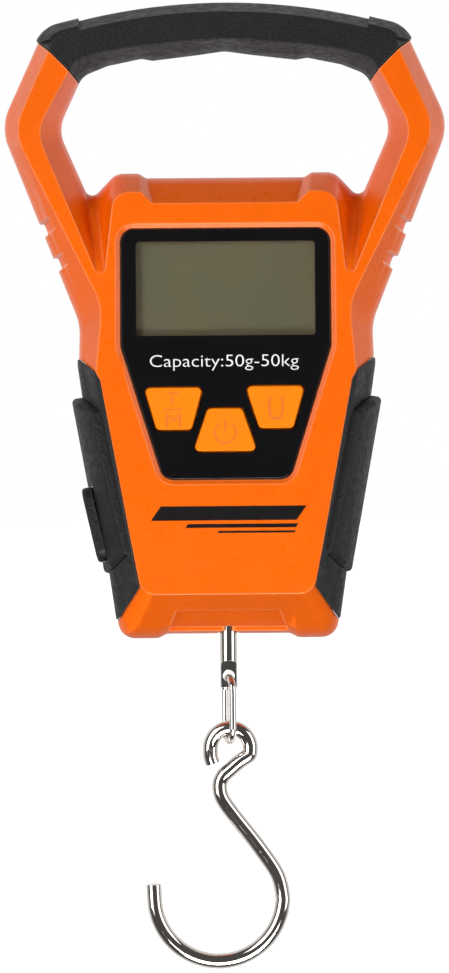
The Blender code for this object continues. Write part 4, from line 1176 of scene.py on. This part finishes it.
KEPT_NODES = {
    "grey_silicone": ("keypad_mat", "zebra_strip"),
    "board_laminate": ("circuit_board",),
    "black_moulding": ("lcd_frame", "tape_case", "tape_spool", "battery_lead_negative"),
    "chip_resin": ("controller_chip", "converter_chip"),
    "gauge_foil": ("strain_gauge",),
    "nickel_steel": ("thrust_washer",),
    "zinc_steel": ("board_screw", "load_cell_bolt", "hanger_nut"),
    "cell_alloy": ("load_cell",),
    "spring_steel": (
        "battery_spring", "battery_plate", "tape_spring", "tare_dome", "power_dome", "unit_dome",
    ),
    "battery_jacket": ("battery_upper", "battery_lower"),
    "yellow_tape": ("tape_coil",),
    "red_insulation": ("battery_lead_positive", "gauge_cable"),
}


def dress_kept_nodes():
    """Gives each node that stays in view its material, by the longest name that starts its own."""
    finishes = {start: look for look, starts in KEPT_NODES.items() for start in starts}
    for name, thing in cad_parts.items():
        starts = [start for start in finishes if name.startswith(start)]
        if thing.hide_render or not starts:
            continue
        for slot in thing.material_slots:
            slot.material = LOOKS[finishes[max(starts, key=len)]]


# ---------------- stage

def floor():
    """A plain pale floor under the hook, which gives off a little light of its own."""
    half_size, height, glow = 40, -0.34, 0.7
    build = bmesh.new()
    bmesh.ops.create_grid(build, x_segments=1, y_segments=1, size=half_size)
    bmesh.ops.transform(build, verts=build.verts, matrix=Matrix.Translation((0, 0, height)))
    plane = new_object("floor", build)
    graph = Graph("floor_paper", (0.93, 0.93, 0.93), 0.8)
    graph.set("Base Color", graph.mixed(graph.noise(40, 2), (0.92, 0.92, 0.92), (0.94, 0.94, 0.94)))
    graph.shader.inputs["Emission Color"].default_value = (1, 1, 1, 1)
    graph.shader.inputs["Emission Strength"].default_value = glow
    plane.data.materials.append(graph.material)
    plane.visible_diffuse = False
    plane.visible_glossy = False


def studio_world():
    """White all round, falling off to dark behind the camera, as in a studio with side windows."""
    world = bpy.data.worlds.new("studio")
    nodes = Nodes(world)
    background = nodes.tree.nodes["Background"]
    place = nodes.add("TexCoord").outputs["Generated"]
    ahead = nodes.add("SeparateXYZ", {0: place}).outputs["Y"]
    fall = nodes.ranged(ahead, 0.1, 1.0, -0.15, 0.45, interpolation_type="SMOOTHSTEP")
    seen = nodes.add("LightPath").outputs["Is Camera Ray"]
    nodes.tree.links.new(nodes.maths("MAXIMUM", fall, seen), background.inputs["Strength"])
    background.inputs["Color"].default_value = (1, 1, 1, 1)
    bpy.context.scene.world = world


def soft_light(name, place, size, power):
    """A rectangular lamp that faces the scale's middle; place and size in metres, power in watts."""
    target = Vector((0, 0, -0.12))
    lamp = bpy.data.lights.new(name, "AREA")
    lamp.shape = "RECTANGLE"
    lamp.size, lamp.size_y = size
    lamp.energy = power
    thing = linked(name, lamp)
    thing.location = place
    thing.rotation_mode = "QUATERNION"
    thing.rotation_quaternion = (target - Vector(place)).to_track_quat("-Z", "Y")


def stage():
    floor()
    studio_world()
    soft_light("window_left", (-0.8, -0.85, 0.05), (0.7, 1.2), 12.0)
    soft_light("window_right", (1.0, -0.6, 0.0), (0.6, 1.2), 7.0)
    soft_light("window_low", (0.1, -0.8, -0.85), (0.9, 0.6), 21.5)


def camera():
    """Level, a metre in front of the display, a little to its right, and rolled by half a degree."""
    made = bpy.data.cameras.new("camera")
    made.lens = 127.6
    made.sensor_width = 36
    made.clip_start, made.clip_end = 0.05, 20
    image_height, pixel, side_step = 973, 0.29 * MM, 2.9
    off_centre, height, roll = 9.0 * MM, -132.4 * MM, math.radians(0.43)
    made.shift_x = -(off_centre / pixel + side_step) / image_height
    thing = linked("camera", made)
    thing.location = (off_centre, -1.0, height)
    thing.rotation_euler = (math.radians(90), roll, 0)
    bpy.context.scene.camera = thing
    bpy.context.scene.view_settings.view_transform = "Standard"


def main():
    make_materials()
    front_case()
    rear_case()
    bar_grip("bar_grip_front", -1)
    bar_grip("bar_grip_rear", 1)
    for hand, sign in (("right", 1), ("left", -1)):
        side_pad(f"side_pad_{hand}_front", sign, -1)
        side_pad(f"side_pad_{hand}_rear", sign, 1)
    panel()
    display()
    keys()
    printing()
    hanger()
    connecting_link()
    hook()
    battery_door()
    housing_screws()
    tape_tab()
    tape()
    dress_kept_nodes()
    stage()
    camera()


main()
